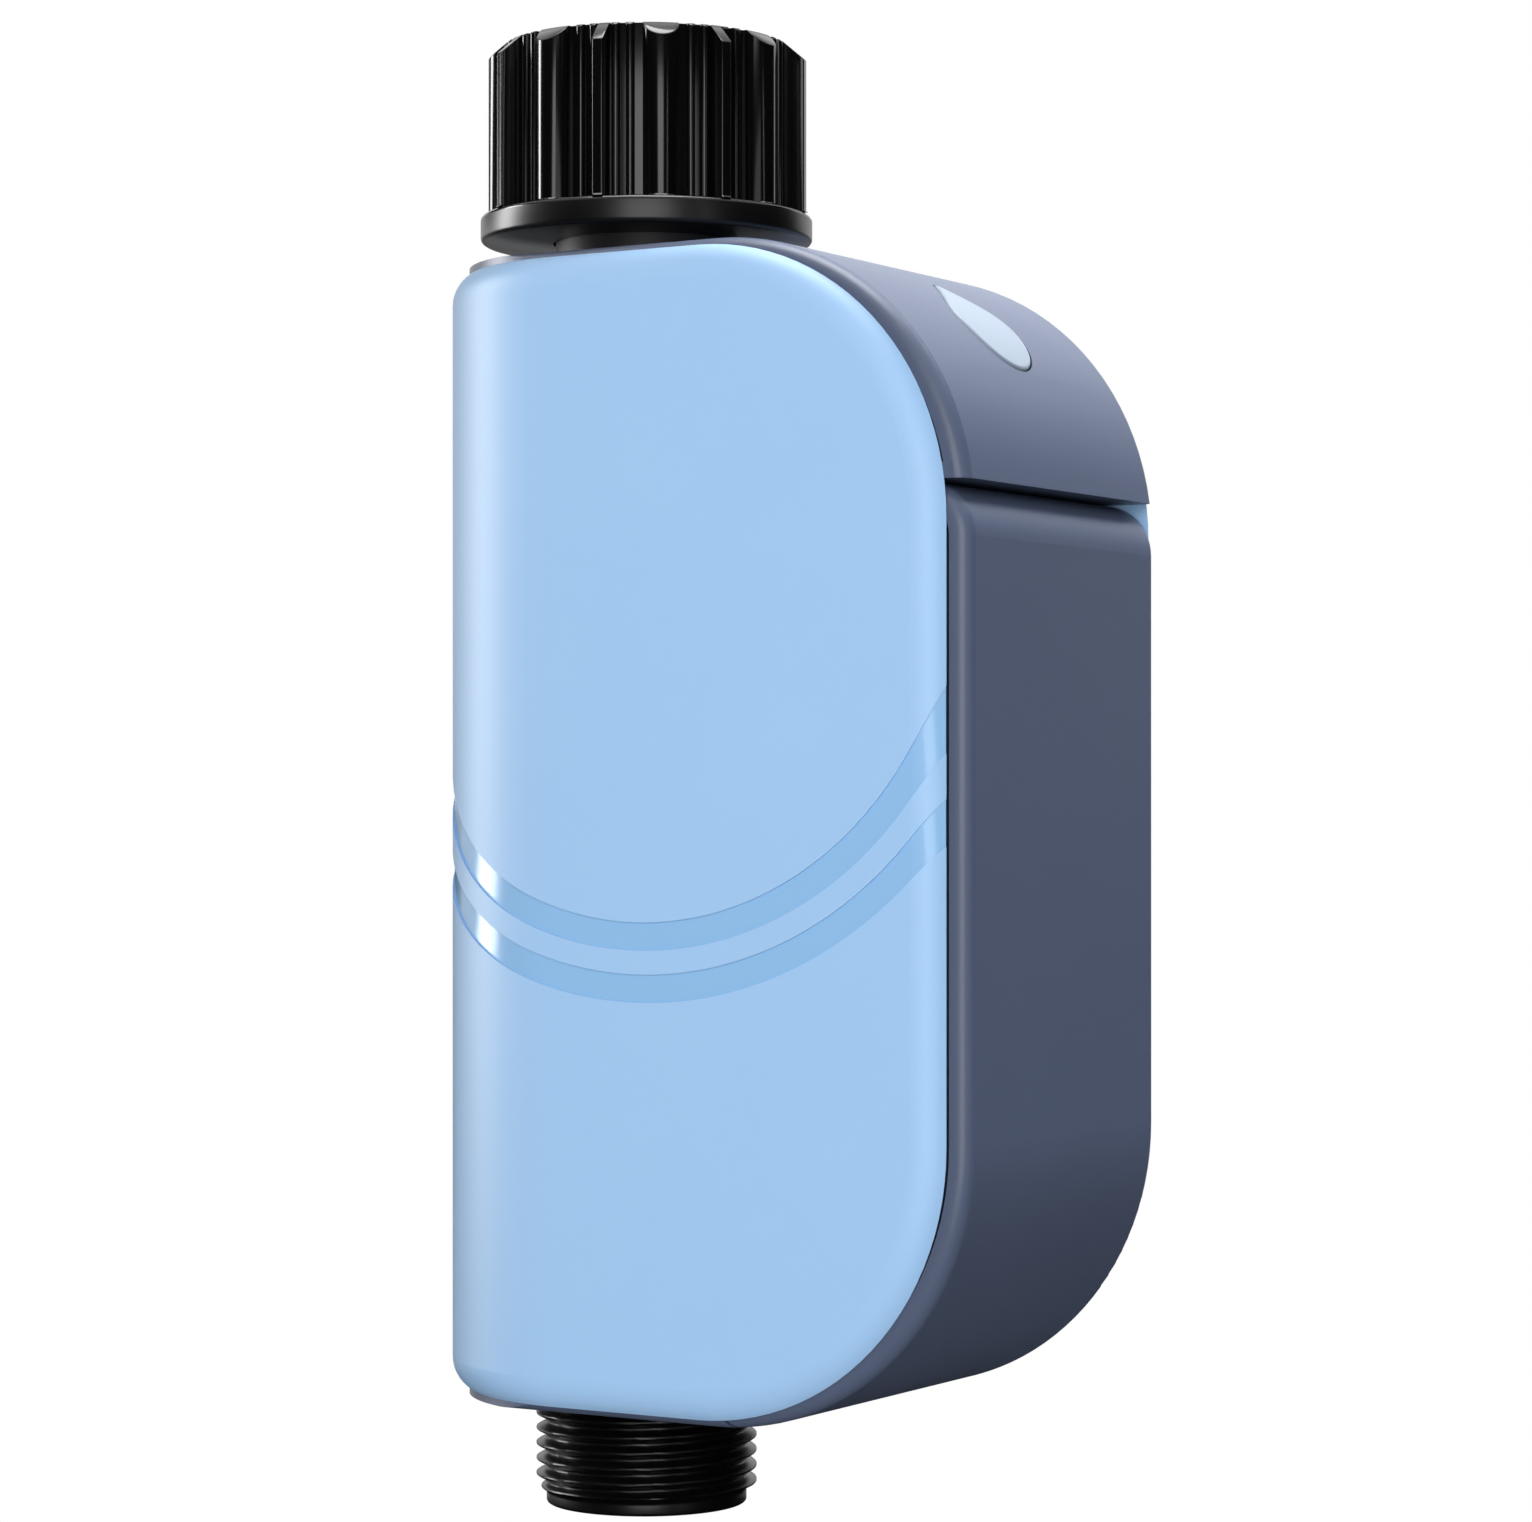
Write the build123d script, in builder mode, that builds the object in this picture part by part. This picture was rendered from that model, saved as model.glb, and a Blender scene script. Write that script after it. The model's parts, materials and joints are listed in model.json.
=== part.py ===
"""Smart water timer for a garden tap, in millimetres.

The origin is on the pipe axis, where the tap's end face presses on the inlet washer.
+Z points up into the tap, -Y is the front with the two curved grooves, and +X is the side
with the battery cover. Cuts run past the faces that they open by cut_over, and joined
blocks run into each other by weld.
"""

from build123d import *
import math
import os

os.makedirs("parts", exist_ok=True)

# Body: a D from the front, with a half round left end in plan. Its height, depth and right
# side follow from what it holds, further down.
body_top = -14.3
end_centre_x = 2.4
corner_radius = 32.7
skin_wall = 2.0
skin_edge_round = 4.2
skin_drop = 0.2
front_skin_inset = 2.0
rear_skin_inset = 0.2
band_edge_round = 1.0
band_front_round = 1.8
frame_wall = 2.4
fit_gap = 0.1
cut_over = 1.0
weld = 0.5
prism_over = 5.0
same_size = 0.01

# Two shallow curved grooves in the front
groove_centre = (15.3, -50.3)
groove_radii = (41.2, 47.1)
groove_width = 3.2
groove_depth = 0.25

# Battery cover and the finger groove above it
cover_split_drop = 28.4
cover_seam_x = 26.0
cover_gap = 0.2
lip_radius = 6.0
inner_wall_gap = 0.8
inner_wall = 1.8

# Hinge of the battery cover, at the foot
hinge_x = 29.0
hinge_rise = 3.5
hinge_lug_radius = 1.9
hinge_pin_radius = 0.9
hinge_play = 0.08
hinge_lug_width = 3.0
hinge_knuckle_width = 5.0
hinge_knuckle_y = 14.5
hinge_side_gap = 0.3
hinge_arm_left = 0.4
hinge_seam_gap = 0.4
foot_gap = 0.25
well_gap = 0.45
well_wall = 1.5
well_floor = 0.3
web_inset = 10.3
web_thickness = 2.0
shelf_thickness = 1.8
lip_tail = 1.0

# Drop-shaped button, measured on the round top corner
button_angle = 45.0
button_round_radius = 6.2
button_tip_reach = 9.0
button_gap = 0.25
button_proud = 0.2
button_lip = 1.2
button_lip_thickness = 1.0
button_foot = 27.0
button_travel = 0.4
switch_gap = 0.1
button_edge_round = 0.5
plunger_radius = 2.0
plunger_length = 4.6

# Pipe thread, G 3/4
thread_major_radius = 13.22
thread_minor_radius = 12.06
thread_pitch = 1.814
thread_land = 0.45
thread_root_land = 0.1
thread_weld = 0.2

# Inlet nut
nut_top = 12.7
nut_bottom = -10.9
nut_radius = 19.0
nut_flange_radius = 19.9
nut_flange_height = 3.2
nut_rim_radius = 17.0
nut_cone_slope = 0.85
nut_mouth_chamfer = 1.1
nut_lip_top = -6.6
nut_cavity_radius = 13.0
nut_cavity_top = -0.8
first_thread_z = 1.28
nut_threads = 6
grip_groups = 8
grip_start = -51.6
grip_base_radius = 16.6
lobe_round = 2.1
ridge_radius = 19.7
ridge_width = 1.3
rib_round = 0.5
rib_top_radius = 17.3
rib_count = 2
rib_start = 12.2
rib_step = 5.8
nut_flange_round = 0.6

# Water way
bore_radius = 7.5
neck_radius = 10.9
neck_gap = 0.3
washer_thickness = 2.4
washer_radius = 11.7
ring_groove_z = -5.75
ring_groove_height = 1.7
ring_groove_depth = 1.0
ring_radius = 12.6
ring_clearance = 0.1
ring_split = 3.0
collar_radius = 14.5
collar_height = 3.0
collar_slope = 2.0
pipe_radius = 10.2
spout_collar_height = 2.6
filter_rim_height = 0.6
filter_wall = 0.9
filter_depth = 10.0
filter_slots = 10
filter_slot_width = 1.4
filter_slot_start = 2.2
filter_gap = 0.2
filter_round = 3.0
filter_flange_radius = 8.3

# Ball valve
valve_rise = 19.8
ball_radius = 10.4
ball_bore_radius = 6.8
ball_play = 0.1
chamber_radius = 11.2
chamber_wall = 4.4
seat_height = 3.9
seat_reach = 8.9
seat_bore_radius = 7.2
pad_half_width = 11.5
pad_top = 18.0
pad_bottom = 12.0
pad_x = 16.6
stem_radius = 3.5
stem_play = 0.08
stem_square = 5.0
stem_tongue = 3.0
stem_tongue_depth = 2.4
stem_inner_x = 10.5
o_ring_radius = 0.56
o_ring_xs = (12.1, 14.6)
o_ring_squeeze = 0.02

# Outlet spout
spout_length = 13.4
spout_nose_length = 1.3
spout_nose_radius = 12.0
spout_gap = 0.15
spout_plain_radius = 13.0
spout_threads = 6
spout_plain_length = 1.0
spout_run_out = 1.0
spout_first_crest_drop = 3.0

# Gear train, all axes along X
gear_module = 0.5
wheel_teeth = 36
pinion_teeth = 12
gear_play = 0.16
gear_dedendum = 1.25
pressure_angle = math.radians(20)
compound_angle = 40.0
case_wall = 1.2
case_plate = 1.5
case_clear = 0.5
case_corner = 4.0
case_bay_gap = 0.6
output_layer = (19.0, 22.6)
wheel_layer = (23.2, 25.6)
gear_pin_radius = 1.0
gear_pin_play = 0.06
motor_shaft_radius = 1.5
motor_shaft_play = 0.08
motor_width = 12.0
motor_height = 10.0
motor_sleeve = 7.0
motor_end_round = 4.0
motor_can = 13.5
case_screw_radius = 1.1
case_screw_head_radius = 1.8
case_post_radius = 2.2
case_screw_grip = 5.0
case_screw_y = 9.0
case_screw_low = 8.6
case_screw_high = 15.6
case_slot_length = 2.2
case_slot_width = 0.5
case_slot_depth = 0.7
lid_step = 1.3
motor_shaft_depth = 4.0
shaft_end_gap = 0.5

# Battery bay with four AA cells
cell_radius = 7.1
cell_length = 49.5
cell_nub_radius = 2.7
cell_nub_height = 1.0
cell_pitch = 14.9
cell_wall_gap = 1.2
cell_side_gap = 0.65
bay_wall = 1.6
bay_drop = 35.7
bay_lip = 2.2
spine_left = 19.2
spine_wall = 1.8
spine_room = 0.6
contact_thickness = 0.4
contact_width = 9.0
leaf_half_width = 4.0
leaf_width = 5.0
leaf_room = 6.1
gasket_width = 1.8
gasket_thickness = 0.4
gasket_margin = 1.2
gasket_corner = 0.8

# Boards
board_thickness = 1.6
board_boss_height = 1.8
board_room = 1.0
board_left_gap = 2.0
board_right_gap = 3.1
board_top_gap = 3.0
board_bottom_gap = 3.4
chip_places = (
    (8.0, 9.0, 7.0, 7.0, 1.0), (19.0, 7.0, 4.0, 5.0, 1.2), (8.0, 39.0, 5.0, 4.0, 1.3),
    (19.5, 41.0, 6.0, 3.2, 1.6),
)
radio_right = 14.0
radio_down = 24.5
radio_width = 13.0
radio_height = 15.0
radio_depth = 2.0
switch_size = 6.0
switch_height = 3.4
switch_cap_radius = 1.7
switch_cap_height = 1.4
switch_board_size = 13.0
switch_board_thickness = 1.2
switch_fin_y = (-4.5, 4.5)
switch_fin_thickness = 1.6
board_boss_radius = 2.2
board_screw_radius = 0.8
board_screw_grip = 3.0
board_screw_inset = 3.0

# Posts and screws that hold the shells
post_radius = 3.3
post_rib = 2.0
left_post_inset = 4.0
left_post_drop = 19.7
left_post_rise = 50.3
top_post_inset = 8.8
top_post_drop = 24.2
foot_post_inset = 14.3
foot_post_rise = 15.8
shell_pin_radius = 1.5
shell_pin_length = 6.0
pin_end_gap = 0.5
screw_radius = 1.3
screw_head_radius = 2.6
screw_head_height = 1.3
screw_length = 11.0
shell_slot_length = 2.8
shell_slot_width = 0.6
shell_slot_depth = 0.8

# Derived places: the bay follows from the cells, the gear case hangs under the bay, the
# ball valve is geared to it, and the case closes round them all
spine_right = spine_left + spine_wall
bay_top = body_top - bay_drop
bay_bottom = bay_top - cell_length - cell_nub_height - 2 * contact_thickness - leaf_room
bay_half_depth = cell_pitch / 2 + cell_radius + cell_side_gap
cell_x = (spine_right + cell_wall_gap + cell_radius,
          spine_right + cell_wall_gap + cell_radius + cell_pitch)
cell_y = (-cell_pitch / 2, cell_pitch / 2)
wheel_radius = gear_module * wheel_teeth / 2
pinion_radius = gear_module * pinion_teeth / 2
gear_distance = wheel_radius + pinion_radius
wheel_tip = wheel_radius + gear_module
case_rise = wheel_tip + case_clear + case_wall
compound_y = gear_distance * math.cos(math.radians(compound_angle))
compound_rise = gear_distance * math.sin(math.radians(compound_angle))
valve_z = round(bay_bottom - bay_wall - case_bay_gap - case_rise - compound_rise, 1)
compound_z = valve_z + compound_rise
case_z_max = compound_z + case_rise
board_y = bay_half_depth + bay_wall + board_boss_height
body_bottom = valve_z - valve_rise
body_height = body_top - body_bottom
body_half_depth = board_y + board_thickness + radio_depth + board_room + skin_wall
body_right = cell_x[1] + cell_radius + inner_wall + inner_wall_gap + frame_wall
body_left = end_centre_x - body_half_depth
frame_half_depth = body_half_depth - skin_wall
cover_split_z = body_top - cover_split_drop
hinge_z = body_bottom + hinge_rise
web_left = body_right - web_inset
web_right = web_left + web_thickness
spout_end = body_bottom - spout_length
spout_first_crest_z = body_bottom - spout_first_crest_drop
post_places = (
    (spine_left - left_post_inset, body_top - left_post_drop),
    (body_right - top_post_inset, body_top - top_post_drop),
    (spine_left - left_post_inset, body_bottom + left_post_rise),
    (body_right - foot_post_inset, body_bottom + foot_post_rise),
)
corner_centre_x = body_right - corner_radius
top_corner_centre_z = body_top - corner_radius
seat_bottom = valve_z - seat_reach
seat_top = valve_z + seat_reach
chamber_outer = chamber_radius + chamber_wall
body_floor = body_bottom + frame_wall
motor_y = compound_y - gear_distance
motor_z = compound_z
case_left = pad_x + fit_gap
case_right = wheel_layer[1] + case_clear
lid_right = case_right + case_plate
inner_face = body_right - frame_wall - inner_wall_gap
board_left = spine_right + board_left_gap
board_right = inner_face - board_right_gap
board_top = bay_top - board_top_gap
board_bottom = bay_bottom + board_bottom_gap
button_normal = Vector(
    math.sin(math.radians(button_angle)), 0, math.cos(math.radians(button_angle))
)
button_along = Vector(
    math.cos(math.radians(button_angle)), 0, -math.sin(math.radians(button_angle))
)

cover_end_radius = math.hypot(hinge_x - cover_seam_x - hinge_seam_gap, hinge_z - body_bottom)
well_radius = cover_end_radius + well_gap
hinge_step = hinge_knuckle_width / 2 + hinge_side_gap + hinge_lug_width / 2
wall_inset = frame_wall + inner_wall_gap
collar_top = body_top - frame_wall
o_ring_centre = stem_radius + stem_play - o_ring_squeeze - o_ring_radius
motor_shaft_end = lid_right + motor_shaft_depth
case_screw_places = (
    (-case_screw_y, valve_z - case_screw_low), (case_screw_y, valve_z - case_screw_low),
    (-case_screw_y, valve_z + case_screw_high),
)
nut_mouth_radius = neck_radius + neck_gap
case_y_min = -wheel_tip - case_clear - case_wall
case_y_max = compound_y + wheel_tip + case_clear + case_wall
case_z_min = valve_z - wheel_tip - case_clear - case_wall
button_plane = Plane(
    origin=(corner_centre_x, 0, top_corner_centre_z), x_dir=button_along, z_dir=button_normal
)
switch_board_base = (
    button_foot - plunger_length - button_travel - switch_gap
    - switch_cap_height - switch_height - switch_board_thickness
)
fin_foot_z = max(cover_split_z - cover_gap - wall_inset, bay_top + bay_wall) - weld
board_screw_places = (
    (board_left + board_screw_inset, board_top - board_screw_inset),
    (board_right - board_screw_inset, board_top - board_screw_inset),
    (board_left + board_screw_inset, board_bottom + board_screw_inset),
    (board_right - board_screw_inset, board_bottom + board_screw_inset),
)


def side_outline(right, top, bottom, corner, left=body_left):
    """A rectangle seen from the front, with its two right corners rounded."""
    with Locations(((left + right) / 2, (top + bottom) / 2)):
        plate = Rectangle(right - left, top - bottom)
    fillet(plate.vertices().group_by(Axis.X)[-1], corner)


def plan_outline(right, half_depth):
    """The body from above: a half round about the left end and a straight run to the right."""
    with Locations((end_centre_x, 0)):
        Circle(half_depth)
        Rectangle(right - end_centre_x, 2 * half_depth, align=(Align.MIN, Align.CENTER))


def round_band_edges(block):
    """Rounds the outer edges of the band and the cover: softly in front, less at the back."""
    rounds = ((0, band_front_round), (-1, band_edge_round))
    for end, edge_round in rounds:
        rims = block.faces().sort_by(Axis.Y)[end].edges()
        fillet(rims.filter_by(lambda e: e.center().X > end_centre_x), edge_round)


def body_blank(right, half_depth, inset, edge_round):
    """The solid inside the D outline and the plan outline, drawn in by the inset."""
    top = body_top - inset
    bottom = body_bottom + inset
    left = end_centre_x - half_depth
    with BuildPart() as blank:
        with BuildSketch(Plane.XZ):
            side_outline(right, top, bottom, corner_radius - inset, left)
        extrude(amount=half_depth, both=True)
        with BuildSketch(Plane.XY.offset(bottom)):
            plan_outline(right, half_depth)
        extrude(amount=top - bottom, mode=Mode.INTERSECT)
        if edge_round:
            flats = blank.faces().sort_by(Axis.Y)
            left_end = blank.faces().filter_by(GeomType.CYLINDER).sort_by(Axis.X)[0]
            rims = flats[0].edges() + flats[-1].edges() + left_end.edges()
            rims = rims.filter_by(lambda e: abs(e.center().X - end_centre_x) > same_size)
            fillet(rims, edge_round)
    return blank.part


def frame_prism(right, half_depth):
    """The plan outline run past the top and the bottom of the body."""
    with BuildPart() as prism:
        with BuildSketch(Plane.XY.offset(body_bottom - prism_over)):
            plan_outline(right, half_depth)
        extrude(amount=body_height + 2 * prism_over)
    return prism.part


def cover_outline(inset, far_left):
    """The cover's outside seen from the front, with its round lip at the top, drawn in."""
    top = cover_split_z - cover_gap - inset
    bottom = body_bottom + inset
    right = body_right - inset
    lip = lip_radius - inset
    corner = corner_radius - inset
    with BuildLine() as outline:
        Line((far_left, bottom), (far_left, top))
        Line((far_left, top), (right - lip, top))
        TangentArc((right - lip, top), (right, top - lip), tangent=(1, 0))
        Line((right, top - lip), (right, bottom + corner))
        TangentArc((right, bottom + corner), (right - corner, bottom), tangent=(0, -1))
        Line((right - corner, bottom), (far_left, bottom))
    make_face(outline.edges())


def button_outline(grow):
    """The drop: a round end and two straight sides that meet at the tip, grown all round."""
    radius = button_round_radius + grow
    reach = button_tip_reach + grow * button_tip_reach / button_round_radius
    touch = math.acos(radius / reach)
    side = (-radius * math.cos(touch), radius * math.sin(touch))
    with BuildLine() as drop:
        ThreePointArc(side, (radius, 0), (side[0], -side[1]))
        Polyline((side[0], -side[1]), (-reach, 0), side)
    make_face(drop.edges())


def local_point(along, height):
    """A point of the front view, given along the corner and out from its centre."""
    point = button_plane.origin + button_along * along + button_normal * height
    return (point.X, point.Z)


def hinge_disc(radius, mode=Mode.ADD):
    """A disc about the cover's hinge."""
    with Locations((hinge_x, hinge_z)):
        Circle(radius, mode=mode)


def box_between(corner_a, corner_b, mode=Mode.ADD):
    """A box given by two opposite corners."""
    middle = [(a + b) / 2 for a, b in zip(corner_a, corner_b)]
    sides = [abs(b - a) for a, b in zip(corner_a, corner_b)]
    with Locations(tuple(middle)):
        Box(*sides, mode=mode)


def thread_groove(minor, major, z):
    """Half profile of one thread groove of a female thread, with its narrow root outside."""
    root_half = thread_land / 4
    mouth_half = (thread_pitch - thread_land) / 2
    with BuildLine() as groove:
        Polyline(
            (minor - thread_weld, z - mouth_half),
            (minor, z - mouth_half),
            (major, z - root_half),
            (major, z + root_half),
            (minor, z + mouth_half),
            (minor - thread_weld, z + mouth_half),
            close=True,
        )
    make_face(groove.edges())


def thread_crest(z):
    """Half profile of one thread crest of the spout."""
    foot_half = (thread_pitch - 2 * thread_root_land) / 2
    with BuildLine() as crest:
        Polyline(
            (thread_minor_radius - thread_weld, z - foot_half),
            (thread_minor_radius, z - foot_half),
            (thread_major_radius, z - thread_land / 2),
            (thread_major_radius, z + thread_land / 2),
            (thread_minor_radius, z + foot_half),
            (thread_minor_radius - thread_weld, z + foot_half),
            close=True,
        )
    make_face(crest.edges())


def gear_face(teeth, turn, place):
    """An involute gear about a place in the plane across its axis, one tooth at the angle turn."""
    pitch = gear_module * teeth / 2
    base = pitch * math.cos(pressure_angle)
    tip = pitch + gear_module
    root = pitch - gear_dedendum * gear_module
    half_pitch_angle = math.pi / (2 * teeth) - gear_play / 2 / (2 * pitch)
    flare = math.tan(pressure_angle) - pressure_angle

    def flank(radius, side, centre):
        inner = max(radius, base)
        along = math.sqrt((inner / base) ** 2 - 1)
        angle = half_pitch_angle + flare - (along - math.atan(along))
        return (
            place[0] + radius * math.cos(centre + side * angle),
            place[1] + radius * math.sin(centre + side * angle),
        )

    step = 2 * math.pi / teeth
    start = math.radians(turn)
    with BuildLine() as outline:
        for tooth in range(teeth):
            centre = start + tooth * step
            rise = [flank(r, -1, centre) for r in (root, (root + tip) / 2, tip)]
            fall = [flank(r, 1, centre) for r in (tip, (root + tip) / 2, root)]
            ThreePointArc(*rise)
            Line(rise[-1], fall[0])
            ThreePointArc(*fall)
            Line(fall[-1], flank(root, -1, centre + step))
    make_face(outline.edges())


def meshed_turn(teeth_a, turn_a, direction, teeth_b):
    """The turn of gear b that puts a space of b on a tooth of a along the direction."""
    step_a = 360 / teeth_a
    step_b = 360 / teeth_b
    share = ((direction - turn_a) / step_a) % 1
    return direction + 180 - step_b * (0.5 - share)


def case_outline(bottom, inset):
    """The gear case seen along its axis, above the given bottom, drawn in by the inset."""
    with Locations((
        (case_y_min + case_y_max) / 2, (bottom + case_z_max) / 2
    )):
        RectangleRounded(
            case_y_max - case_y_min - 2 * inset, case_z_max - bottom - 2 * inset,
            case_corner - inset,
        )


def cell_foot_z(column):
    """The foot of the cells of one column: nubs point up in the first, down in the second."""
    if column == 0:
        return bay_top - contact_thickness - cell_nub_height - cell_length
    return bay_bottom + contact_thickness + cell_nub_height


def shell_grooves(right):
    """The two curved grooves of a shell: lower half rings that fade out at its right edge."""
    floor = body_blank(
        right, body_half_depth - groove_depth, skin_drop, skin_edge_round - groove_depth
    )
    with BuildPart() as grooves:
        for radius in groove_radii:
            with BuildSketch(Plane.XZ):
                with Locations(groove_centre):
                    Circle(radius + groove_width)
                    Circle(radius, mode=Mode.SUBTRACT)
                    Rectangle(
                        2 * body_height, body_height, align=(Align.CENTER, Align.MIN),
                        mode=Mode.SUBTRACT,
                    )
            extrude(amount=body_half_depth + cut_over, both=True)
        add(floor, mode=Mode.SUBTRACT)
    return grooves.part


# Front shell
front_right = body_right - front_skin_inset
with BuildPart() as front_shell:
    add(body_blank(front_right, body_half_depth, skin_drop, skin_edge_round))
    split(bisect_by=Plane.XZ, keep=Keep.TOP)
    add(frame_prism(body_right + prism_over, frame_half_depth), mode=Mode.SUBTRACT)
    add(shell_grooves(front_right), mode=Mode.SUBTRACT)
    with Locations(*[Location((x, -frame_half_depth, z), (90, 0, 0)) for x, z in post_places]):
        Cylinder(
            shell_pin_radius,
            shell_pin_length,
            align=(Align.CENTER, Align.CENTER, Align.MAX),
        )
front_shell.part.label = "front_shell"
export_step(front_shell.part, "parts/front_shell.step")

# Rear shell, with four screw holes
rear_right = body_right - rear_skin_inset
with BuildPart() as rear_shell:
    add(body_blank(rear_right, body_half_depth, skin_drop, skin_edge_round))
    split(bisect_by=Plane.XZ, keep=Keep.BOTTOM)
    add(frame_prism(body_right + prism_over, frame_half_depth), mode=Mode.SUBTRACT)
    add(shell_grooves(rear_right), mode=Mode.SUBTRACT)
    for x, z in post_places:
        with Locations(Plane((x, body_half_depth, z), z_dir=(0, 1, 0))):
            CounterBoreHole(
                screw_radius + fit_gap,
                screw_head_radius + fit_gap,
                screw_head_height,
                skin_wall + cut_over,
            )
rear_shell.part.label = "rear_shell"
export_step(rear_shell.part, "parts/rear_shell.step")

# Chassis: the slate band, the spine, the compartment wall and the battery bay
with BuildPart() as compartment:
    with BuildSketch(Plane.XZ):
        cover_outline(wall_inset, spine_left)
        hinge_disc(well_radius, Mode.SUBTRACT)
    extrude(amount=frame_half_depth, both=True)
    with BuildSketch(Plane.XZ) as inside:
        cover_outline(wall_inset + inner_wall, spine_right)
        hinge_disc(well_radius + well_wall, Mode.SUBTRACT)
    extrude(amount=frame_half_depth + cut_over, both=True, mode=Mode.SUBTRACT)
    box_between(
        (spine_left, -frame_half_depth, body_floor - cut_over),
        (hinge_x - well_radius - well_wall / 2, frame_half_depth, body_floor + inner_wall),
    )
with BuildPart() as ring_space:
    with BuildSketch(Plane.XZ):
        side_outline(
            body_right - frame_wall, body_top - frame_wall, body_floor,
            corner_radius - frame_wall,
        )
    extrude(amount=body_half_depth, both=True)
    with BuildSketch(Plane.XY.offset(body_bottom)):
        with Locations((end_centre_x, 0)):
            Circle(frame_half_depth - fit_gap - frame_wall)
            Rectangle(
                body_right, 3 * body_half_depth, align=(Align.MIN, Align.CENTER)
            )
    extrude(amount=body_height, mode=Mode.INTERSECT)
with BuildPart() as band_blank:
    with BuildSketch(Plane.XZ):
        side_outline(body_right, body_top, body_bottom, corner_radius)
    extrude(amount=frame_half_depth, both=True)
    round_band_edges(band_blank)
    with BuildSketch(Plane.XY.offset(body_bottom)):
        plan_outline(body_right, frame_half_depth)
    extrude(amount=body_height, mode=Mode.INTERSECT)
with BuildPart() as chassis:
    add(band_blank.part)
    add(ring_space.part, mode=Mode.SUBTRACT)
    box_between(
        (hinge_x, -body_half_depth, body_bottom - cut_over),
        (body_right + cut_over, body_half_depth, cover_split_z),
        Mode.SUBTRACT,
    )
    with BuildSketch(Plane.XZ):
        hinge_disc(cover_end_radius + foot_gap)
    extrude(amount=body_half_depth, both=True, mode=Mode.SUBTRACT)
    add(compartment.part)
    with BuildSketch(Plane.XZ):
        hinge_disc(well_radius)
        with Locations((hinge_x, body_bottom)):
            Rectangle(
                4 * well_radius, 2 * (frame_wall + well_floor), mode=Mode.SUBTRACT
            )
    extrude(amount=body_half_depth, both=True, mode=Mode.SUBTRACT)
    box_between(
        (web_left, -frame_half_depth, cover_split_z),
        (body_right - frame_wall + weld, frame_half_depth, cover_split_z + shelf_thickness),
    )
    box_between(
        (web_left, -frame_half_depth, cover_split_z - wall_inset - inner_wall),
        (web_right, frame_half_depth, cover_split_z + shelf_thickness),
    )
    box_between(
        (spine_left, -frame_half_depth, cover_split_z - wall_inset - inner_wall),
        (spine_right, frame_half_depth, collar_top + weld),
    )
    with BuildSketch(Plane.XZ):
        with Locations(*post_places):
            Circle(post_radius)
        for x, z in (post_places[0], post_places[2]):
            with Locations((x, z)):
                Rectangle(
                    spine_left - x + weld, post_rib, align=(Align.MIN, Align.CENTER)
                )
    extrude(amount=frame_half_depth, both=True)
    for x, z in post_places:
        with Locations(Plane((x, -frame_half_depth, z), z_dir=(0, -1, 0))):
            Hole(shell_pin_radius + fit_gap, shell_pin_length + pin_end_gap)
        with Locations(Plane((x, frame_half_depth, z), z_dir=(0, 1, 0))):
            Hole(screw_radius, screw_length)
    with Locations((0, 0, body_top - frame_wall / 2)):
        Cylinder(nut_mouth_radius, frame_wall + cut_over, mode=Mode.SUBTRACT)
    with Locations((0, 0, body_bottom + frame_wall / 2)):
        Cylinder(thread_major_radius + spout_gap, frame_wall + cut_over, mode=Mode.SUBTRACT)
    box_between(
        (pad_x - cut_over, -pad_half_width - cut_over, valve_z - pad_bottom - spine_room),
        (spine_right + spine_room, case_y_max + spine_room, case_z_max + spine_room),
        Mode.SUBTRACT,
    )
    box_between(
        (spine_left, -bay_half_depth - bay_wall, bay_bottom - bay_wall),
        (inner_face, bay_half_depth + bay_wall, bay_top + bay_wall),
    )
    box_between(
        (spine_right, -bay_half_depth, bay_bottom),
        (inner_face - inner_wall, bay_half_depth, bay_top),
        Mode.SUBTRACT,
    )
    box_between(
        (inner_face - inner_wall - cut_over, -bay_half_depth, bay_bottom + bay_lip),
        (inner_face + cut_over, bay_half_depth, bay_top - bay_lip),
        Mode.SUBTRACT,
    )
    with BuildSketch(button_plane.offset(button_foot)):
        button_outline(button_gap)
    extrude(amount=corner_radius - button_foot + 2 * cut_over, mode=Mode.SUBTRACT)
    for y in switch_fin_y:
        with BuildSketch(Plane.XZ.offset(-y)):
            with BuildLine():
                Polyline(
                    local_point(-switch_board_size / 2, switch_board_base),
                    local_point(switch_board_size / 2, switch_board_base),
                    (local_point(switch_board_size / 2, switch_board_base)[0], fin_foot_z),
                    (local_point(-switch_board_size / 2, switch_board_base)[0], fin_foot_z),
                    close=True,
                )
            make_face()
        extrude(amount=switch_fin_thickness / 2, both=True)
    with BuildSketch(Plane.XZ.offset(-bay_half_depth - bay_wall)):
        with Locations(*board_screw_places):
            Circle(board_boss_radius)
    extrude(amount=-(board_y - bay_half_depth - bay_wall))
    for x, z in board_screw_places:
        with Locations(Plane((x, board_y, z), z_dir=(0, 1, 0))):
            Hole(board_screw_radius, board_screw_grip)
    for side in (-1, 1):
        for step in (-1, 1):
            lug_y = side * (hinge_knuckle_y + step * hinge_step)
            with BuildSketch(Plane.XZ.offset(-lug_y)):
                hinge_disc(hinge_lug_radius)
                with Locations((hinge_x - hinge_arm_left, hinge_z)):
                    Rectangle(
                        hinge_lug_radius + hinge_arm_left,
                        well_radius + well_wall / 2,
                        align=(Align.MIN, Align.MIN),
                    )
                hinge_disc(hinge_pin_radius, Mode.SUBTRACT)
            extrude(amount=hinge_lug_width / 2, both=True)
chassis.part.label = "chassis"
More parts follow.
